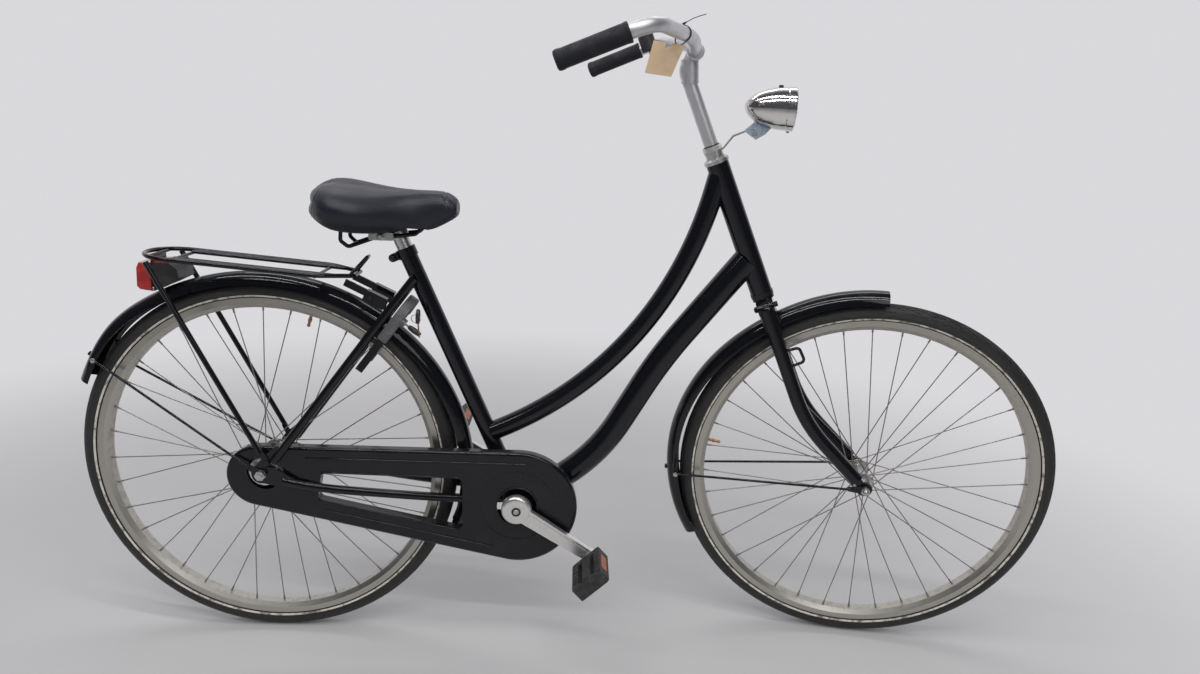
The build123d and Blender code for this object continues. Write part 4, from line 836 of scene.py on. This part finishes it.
grip_rubber = Finish("grip_rubber", (0.011, 0.0115, 0.0155), 0.55, Specular_IOR_Level=0.3)
polish = grip_rubber.spread(grip_rubber.cloud(45), 0.4, 0.7)
grip_rubber.paint(Base_Color=grip_rubber.layer(polish * 0.2, grip_rubber.color,
                                               (0.04, 0.04, 0.047)),
                  Roughness=0.64 - polish * 0.18)
grip_rubber.relief(grip_rubber.cloud(1000, 2.0), 0.0004, 0.2)
RIB_STEP = 3.4
ribs = [(radius, height + number * RIB_STEP) for number in range(26)
        for radius, height in ((14.55, 11), (14.8, 12), (14.8, 13.2), (14.55, 14.2))]
grip_outline = [(11.35, 0), (14.9, 0.2), (15.3, 1.2), (15.3, 5.0), (14.8, 6.4), *ribs,
                (14.8, 101), (15.3, 103), (15.5, 108), (14.4, 112), (11, 113.6), (0, 114),
                (0, 110), (11.35, 110)]
for side, word in SIDES:
    corner, end = on_bar(-25, side * 269, 889), on_bar(-172, side * 280, 891)
    along = (end - corner).normalized()
    grip = turned("grip_" + word, grip_outline, end - along * 0.109, along, 40)
    fit(grip, grip_rubber, "steering")
    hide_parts("grips")

# ------------------------------ blank tag
# A blank manila tag hangs from the bar by a black nylon tie. The card is punched at its top
# edge, a little bowed and soft at its corners, and the tie's long tail sticks out.

card = Finish("tag_card", (0.58, 0.43, 0.28), 0.85)
fibres = card.cloud(420, 5.0)
handled = card.spread(card.cloud(60, 4.0), 0.45, 0.75)
card.paint(Base_Color=card.layer(fibres * 0.25 + handled * 0.35, card.color, (0.42, 0.29, 0.18)))
card.relief(fibres, 0.0003, 0.3)
select_none()
bpy.ops.mesh.primitive_grid_add(x_subdivisions=12, y_subdivisions=12, size=1, location=(0, 0, 0))
tag = bpy.context.object
tag.name = "blank_tag"
corners = [on_bar(-35.9, -170, 872.5), on_bar(5.8, -172, 847.7), on_bar(-29.2, -176, 812.7),
           on_bar(-65, -174, 833)]
pick(tag, lambda centre, normal: abs(centre.x) < 0.045 and abs(centre.y - 0.42) < 0.045)
bpy.ops.mesh.delete(type="FACE")
close()
for vertex in tag.data.vertices:
    across, down = vertex.co.x + 0.5, 0.5 - vertex.co.y
    top_edge = corners[0].lerp(corners[1], across)
    low_edge = corners[3].lerp(corners[2], across)
    bow = math.sin(across * math.pi) * 0.0016 + math.sin(down * 2.2) * 0.0012
    vertex.co = top_edge.lerp(low_edge, down) - bar_left * bow
work(tag, "SOLIDIFY", thickness=0.0007)
open_whole()
bpy.ops.mesh.normals_make_consistent(inside=False)
close()
soften(35)
fit(tag, card, "steering")

nylon = Finish("nylon_tie", (0.02, 0.017, 0.017), 0.35)
nylon.paint(Roughness=0.3 + nylon.cloud(300) * 0.15)
nylon.relief(nylon.cloud(900, 1.0), 0.0002, 0.3)
TIE_RADIUS, TIE_WIDTH = 0.0125, 0.0036
bar_along = (bar_ahead * 0.294 + bar_left * 0.936 - steer_up * 0.194).normalized()
tie_middle = on_bar(10.1, -157.4, 865.8)
select_none()
bpy.ops.mesh.primitive_circle_add(vertices=40, radius=TIE_RADIUS, location=(0, 0, 0))
tie = bpy.context.object
tie.name = "tag_tie"
hang = (bar_ahead * -0.82 - steer_up * 0.57).normalized()
lean = (hang - bar_along * hang.dot(bar_along)).normalized()
other = bar_along.cross(lean)
for vertex in tie.data.vertices:
    turn = math.atan2(vertex.co.y, vertex.co.x)
    radius = TIE_RADIUS + 0.0075 * max(0.0, math.cos(turn)) ** 6
    vertex.co = tie_middle + (lean * math.cos(turn) + other * math.sin(turn)) * radius
bpy.context.tool_settings.mesh_select_mode = (False, True, False)
open_whole()
bpy.ops.mesh.extrude_region_move(TRANSFORM_OT_translate={"value": bar_along * TIE_WIDTH})
close()
work(tie, "SOLIDIFY", thickness=0.0011)
soften(40)
fit(tie, nylon, "steering")
tail = block("tag_tie_tail", (3.4, 1.2, 40), (-0.017, -0.012, 0.0, 0.012))
for vertex in tail.data.vertices:
    if vertex.co.z < -0.0165:
        vertex.co.x *= 1.9
        vertex.co.y *= 3.2
    vertex.co.y += 0.0022 * math.sin((vertex.co.z + 0.02) / 0.04 * 3.0)
knot, tip = on_bar(14, -158.5, 878), on_bar(50, -151, 879)
stand(tail, (knot + tip) / 2, tip - knot)
fit(tail, nylon, "steering")

# ------------------------------ bell lever
# The bell is a small moulded dome on the left of the bar, and its thumb lever is a tapered
# plastic tongue under it.

lever = block("bell_lever", (9, 5, 16))
pick(lever, lambda centre, normal: normal.z > 0.9)
bpy.ops.mesh.extrude_region_move(TRANSFORM_OT_translate={"value": (0, 0.002, 0.01)})
bpy.ops.transform.resize(value=(0.7, 0.6, 1), center_override=(0, 0.002, 0.018))
close()
work(lever, "BEVEL", width=0.0014, segments=3)
stand(lever, on_bar(-44, 252, 877), on_bar(-49, 249, 860) - on_bar(-44, 252, 877))
soften(40)
fit(lever, moulded, "steering")

# ------------------------------ headlamp
# The headlamp is a bullet-shaped steel shell, polished and chromed, with a pressed bezel, a
# fluted glass, a bright dish and a bulb. A moulded grey block joins it to its steel strip.

mirror_chrome = plated_finish("lamp_chrome", (0.78, 0.765, 0.74), 0.055, 0.12)
dress(mirror_chrome, "headlight_shell")
dress(zinc, "headlight_bracket")
holder_grey = Finish("holder_grey", (0.27, 0.34, 0.4), 0.45)
dirt = holder_grey.spread(holder_grey.cloud(160, 4.0), 0.45, 0.7)
holder_grey.paint(Base_Color=holder_grey.layer(dirt * 0.5, holder_grey.color, (0.12, 0.13, 0.14)),
                  Roughness=0.4 + dirt * 0.25)
holder_grey.relief(holder_grey.cloud(900, 2.0), 0.0003, 0.3)
dress(holder_grey, "headlight_holder")

dip = math.radians(-24.6)
beam = (steer_ahead * math.cos(dip) + steer_up * math.sin(dip)).normalized()
above = steer_left.cross(beam) * -1.0
lamp_tip = steered(75.4, 0, 722)
glass = Finish("lamp_glass", (0.93, 0.95, 0.95), 0.06, Transmission_Weight=0.92, IOR=1.45)
flutes = glass.node("ShaderNodeVectorMath", {"operation": "DOT_PRODUCT"},
                    {0: glass.place, 1: steer_left}, "Value")
flutes = glass.node("ShaderNodeMath", {"operation": "SINE"}, {0: flutes * 1500})
haze = glass.spread(glass.cloud(90, 4.0), 0.5, 0.75)
glass.paint(Base_Color=glass.layer(haze * 0.3, glass.color, (0.7, 0.7, 0.66)),
            Roughness=0.05 + haze * 0.12)
glass.relief(flutes, 0.0008, 0.5)
dress(glass, "headlight_glass")
dish_outline = [(0, 72.3), (33.0, 72.3), (33.1, 80.4), (32.4, 80.4), (27, 77.2), (20, 74.9),
                (12, 73.6), (0, 73.2)]
fit(turned("headlight_dish", dish_outline, lamp_tip, beam, 48), mirror_chrome, "steering")
bulb_outline = [(0, 73), (3.2, 73), (3.2, 75.2), (2.2, 75.8), (2.9, 77.4), (2.6, 79.2),
                (1.4, 80.2), (0, 80.5)]
fit(turned("headlight_bulb", bulb_outline, lamp_tip, beam, 20), glass, "steering")
knob = [(0, 0), (4.6, 0), (4.6, 1.2), (4.0, 1.6), (4.0, 3.2), (3.2, 4.0), (0, 4.2)]
fit(turned("headlight_knob", knob, lamp_tip + beam * 0.0588 + above * 0.0352, above, 20), moulded,
    "steering")
screw = [(0, 0), (2.6, 0), (2.7, 1.8), (1.9, 2.9), (0.8, 3.1), (0.7, 2.2), (0, 2.2)]
fit(turned("headlight_bezel_screw", screw, lamp_tip + beam * 0.079 - above * 0.0372, -above, 16),
    zinc, "steering")
for side, word in SIDES:
    screw = [(0, 0), (4.2, 0), (4.3, 1.1), (3.3, 2.5), (1.4, 2.9), (1.1, 1.9), (0, 1.9)]
    fit(turned("lamp_holder_screw_" + word, screw, steered(78, side * 10, 674), steer_left * side, 20),
        zinc, "steering")

# ------------------------------ cranks
# The cranks are forged and polished, with a hexagon bolt sunk in each round boss inside a
# thin black ring. Shoes have scuffed the arms dull along their edges.

crank_alloy = Finish("crank_alloy", (0.78, 0.77, 0.75), 0.26, Metallic=0.9)
drawn = crank_alloy.cloud(70, 4.0)
scuffed = crank_alloy.spread(crank_alloy.cloud(210, 5.0, stretch=(1, 1, 2.4)), 0.5, 0.68)
pits = crank_alloy.spread(crank_alloy.cloud(800, 2.0), 0.66, 0.72)
crank_alloy.paint(Base_Color=crank_alloy.layer(scuffed * 0.14 + pits * 0.25, crank_alloy.color,
                                               (0.36, 0.33, 0.29)),
                  Roughness=0.24 + drawn * 0.1 + scuffed * 0.12, Metallic=0.9 - pits * 0.3)
crank_alloy.relief(scuffed * -0.4 - pits, 0.0002, 0.15)
dress(crank_alloy, "crank_spindle", "crank_right", "crank_left")
for side, word in SIDES:
    ring = [(5.4, 0), (8.8, 0), (8.9, 0.8), (8.2, 1.3), (6.0, 1.3), (5.4, 0.6)]
    boss = from_hub(CRANK_X, side * 79, CRANK_Z)
    fit(turned("crank_ring_" + word, ring, boss, (0, side, 0)), screw_black, "crankset")
    fit(hexagon("crank_bolt_" + word, 9, 1.4, boss, (0, side, 0), 0.7), zinc, "crankset")

# ------------------------------ pedals
# The pedals are moulded black plastic round a steel pin, with ribbed rubber treads, a dust
# cap at the outer end and a prismatic amber reflector set in each edge.

pedal_rubber = Finish("pedal_rubber", (0.02, 0.02, 0.021), 0.58)
trodden = pedal_rubber.spread(pedal_rubber.cloud(120, 5.0), 0.42, 0.68)
pedal_rubber.paint(Base_Color=pedal_rubber.layer(trodden * 0.45, pedal_rubber.color,
                                                 (0.095, 0.088, 0.078)),
                   Roughness=0.5 + trodden * 0.3)
pedal_rubber.relief(pedal_rubber.cloud(850, 2.0), 0.0005, 0.4)
dress(pedal_rubber, "pedal_right", "pedal_left")

amber = Finish("amber_prisms", (0.46, 0.1, 0.002), 0.16, Specular_IOR_Level=0.3)
cells = amber.node("ShaderNodeTexVoronoi", {"distance": "MANHATTAN"},
                   {"Vector": amber.place, "Scale": 420})
amber.paint(Base_Color=amber.layer(cells, amber.color, (0.26, 0.045, 0.002)),
            Roughness=0.14 + cells * 0.14)
amber.relief(cells, 0.0004, 0.3)
dress(amber, "pedal_right_reflectors", "pedal_left_reflectors")
for side, word in SIDES:
    low, high = (Vector(corner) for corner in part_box("pedal_" + word))
    pin = Vector(joints[word + "_pedal_spin"]["pos_m"])
    face = low.y if side < 0 else high.y
    cap = [(0, 0), (8.4, 0), (8.4, 1.1), (7.2, 2.0), (3.0, 2.4), (0, 2.4)]
    fit(turned("pedal_cap_" + word, cap, Vector((pin.x, face, pin.z)), (0, side, 0)), moulded,
        word + "_pedal")

# ------------------------------ floor, light and camera
# The bicycle stands on a plain pale floor that fades into a pale room. Long soft lamps hang
# above it on both sides, and a square one stands in front. Polished and clear pieces show a
# pale room behind the bicycle and a dim one in front of it.

pale = (0.7, 0.69, 0.715)
select_none()
bpy.ops.mesh.primitive_plane_add(size=40, location=(0, 0, cad_box[0][2]))
floor = bpy.context.object
floor.name = "floor"
ground = Finish("floor_paint", (0.5, 0.49, 0.485), 0.6)
ground.paint(Base_Color=ground.layer(ground.cloud(3, 4.0) * 0.3, ground.color, (0.44, 0.43, 0.425)))
camera_ray = ground.node("ShaderNodeLightPath", {}, {}, "Is Camera Ray")
glossy = ground.node("ShaderNodeLightPath", {}, {}, "Is Glossy Ray")
through = ground.node("ShaderNodeLightPath", {}, {}, "Is Transmission Ray")
far = ground.node("ShaderNodeVectorMath", {"operation": "LENGTH"}, {0: ground.place}, "Value")
behind = ground.spread(ground.axis(ground.place, "Y"), 0.0, 1.2)
seen = ground.spread(far, 0.9, 2.6) * (camera_ray + (glossy + through) * behind)
glow = ground.node("ShaderNodeEmission", {}, {"Color": pale})
bare = Value(ground, ground.shader.outputs[0])
mixed = ground.node("ShaderNodeMixShader", {}, {0: seen, 1: bare, 2: glow})
ground.put(ground.tree.nodes["Material Output"], "Surface", mixed)
floor.data.materials.append(ground.material)

world = bpy.data.worlds.new("studio")
bpy.context.scene.world = world
world.use_nodes = True
sky = world.node_tree


def in_world(kind, settings=(), links=(), **sockets):
    """Adds a node to the world: its settings, its plain values, then its links."""
    made = sky.nodes.new(kind)
    for setting, value in settings:
        setattr(made, setting, value)
    for socket, value in sockets.items():
        made.inputs[socket.replace("_", " ")].default_value = value
    for socket, output in links:
        sky.links.new(output, made.inputs[socket])
    return made


light_path = in_world("ShaderNodeLightPath").outputs
toward = in_world("ShaderNodeSeparateXYZ",
                  links=[("Vector", in_world("ShaderNodeTexCoord").outputs["Generated"])])
wall_side = in_world("ShaderNodeMapRange", [("interpolation_type", "SMOOTHSTEP")],
                     [("Value", toward.outputs["Y"])], From_Min=0.05, From_Max=0.6)
room = in_world("ShaderNodeMix", [("data_type", "RGBA")], [(0, wall_side.outputs[0])])
room.inputs[6].default_value = (0.06, 0.062, 0.07, 1)
room.inputs[7].default_value = (*pale, 1)
mirrored = in_world("ShaderNodeBackground", links=[("Color", room.outputs[2])], Strength=1.0)
shown = in_world("ShaderNodeBackground", Color=(*pale, 1), Strength=1.0)
fill = in_world("ShaderNodeBackground", Color=(0.93, 0.94, 1.0, 1), Strength=0.55)
bent = in_world("ShaderNodeMath", [("operation", "MAXIMUM")],
                [(0, light_path["Is Glossy Ray"]), (1, light_path["Is Transmission Ray"])])
unseen = in_world("ShaderNodeMixShader", links=[(0, bent.outputs[0]), (1, fill.outputs[0]),
                                                (2, mirrored.outputs[0])])
whole = in_world("ShaderNodeMixShader", links=[(0, light_path["Is Camera Ray"]),
                                               (1, unseen.outputs[0]), (2, shown.outputs[0])])
sky.links.new(whole.outputs[0], sky.nodes["World Output"].inputs["Surface"])

for name, place, aim, width, depth, power in (
        ("lamp_over", (-0.1, -0.7, 2.1), (0.1, 0, -0.4), 3.6, 0.1, 24),
        ("lamp_beside", (-0.1, -1.7, 1.9), (0.1, 0, -0.4), 3.6, 0.1, 26),
        ("lamp_behind", (0.2, 1.3, 2.2), (0.1, 0, -0.4), 3.4, 0.3, 16),
        ("lamp_front", (1.6, -2.8, 1.4), (0.1, 0, -0.5), 1.6, 1.6, 14)):
    bpy.ops.object.light_add(type="AREA", location=place)
    lamp = bpy.context.object
    lamp.name = name
    lamp.data.shape = "RECTANGLE"
    lamp.data.size = width
    lamp.data.size_y = depth
    lamp.data.energy = power
    lamp.rotation_euler = (Vector(aim) - lamp.location).to_track_quat("-Z", "Y").to_euler()

bpy.ops.object.camera_add(location=(0.3681, -1.4595, 0.1184),
                          rotation=[math.radians(a) for a in (75.171, -2.027, -1.473)])
camera = bpy.context.object
camera.data.lens = 24.02
camera.data.sensor_width = 36
camera.data.clip_start = 0.05
bpy.context.scene.camera = camera
bpy.context.scene.view_settings.view_transform = "Standard"
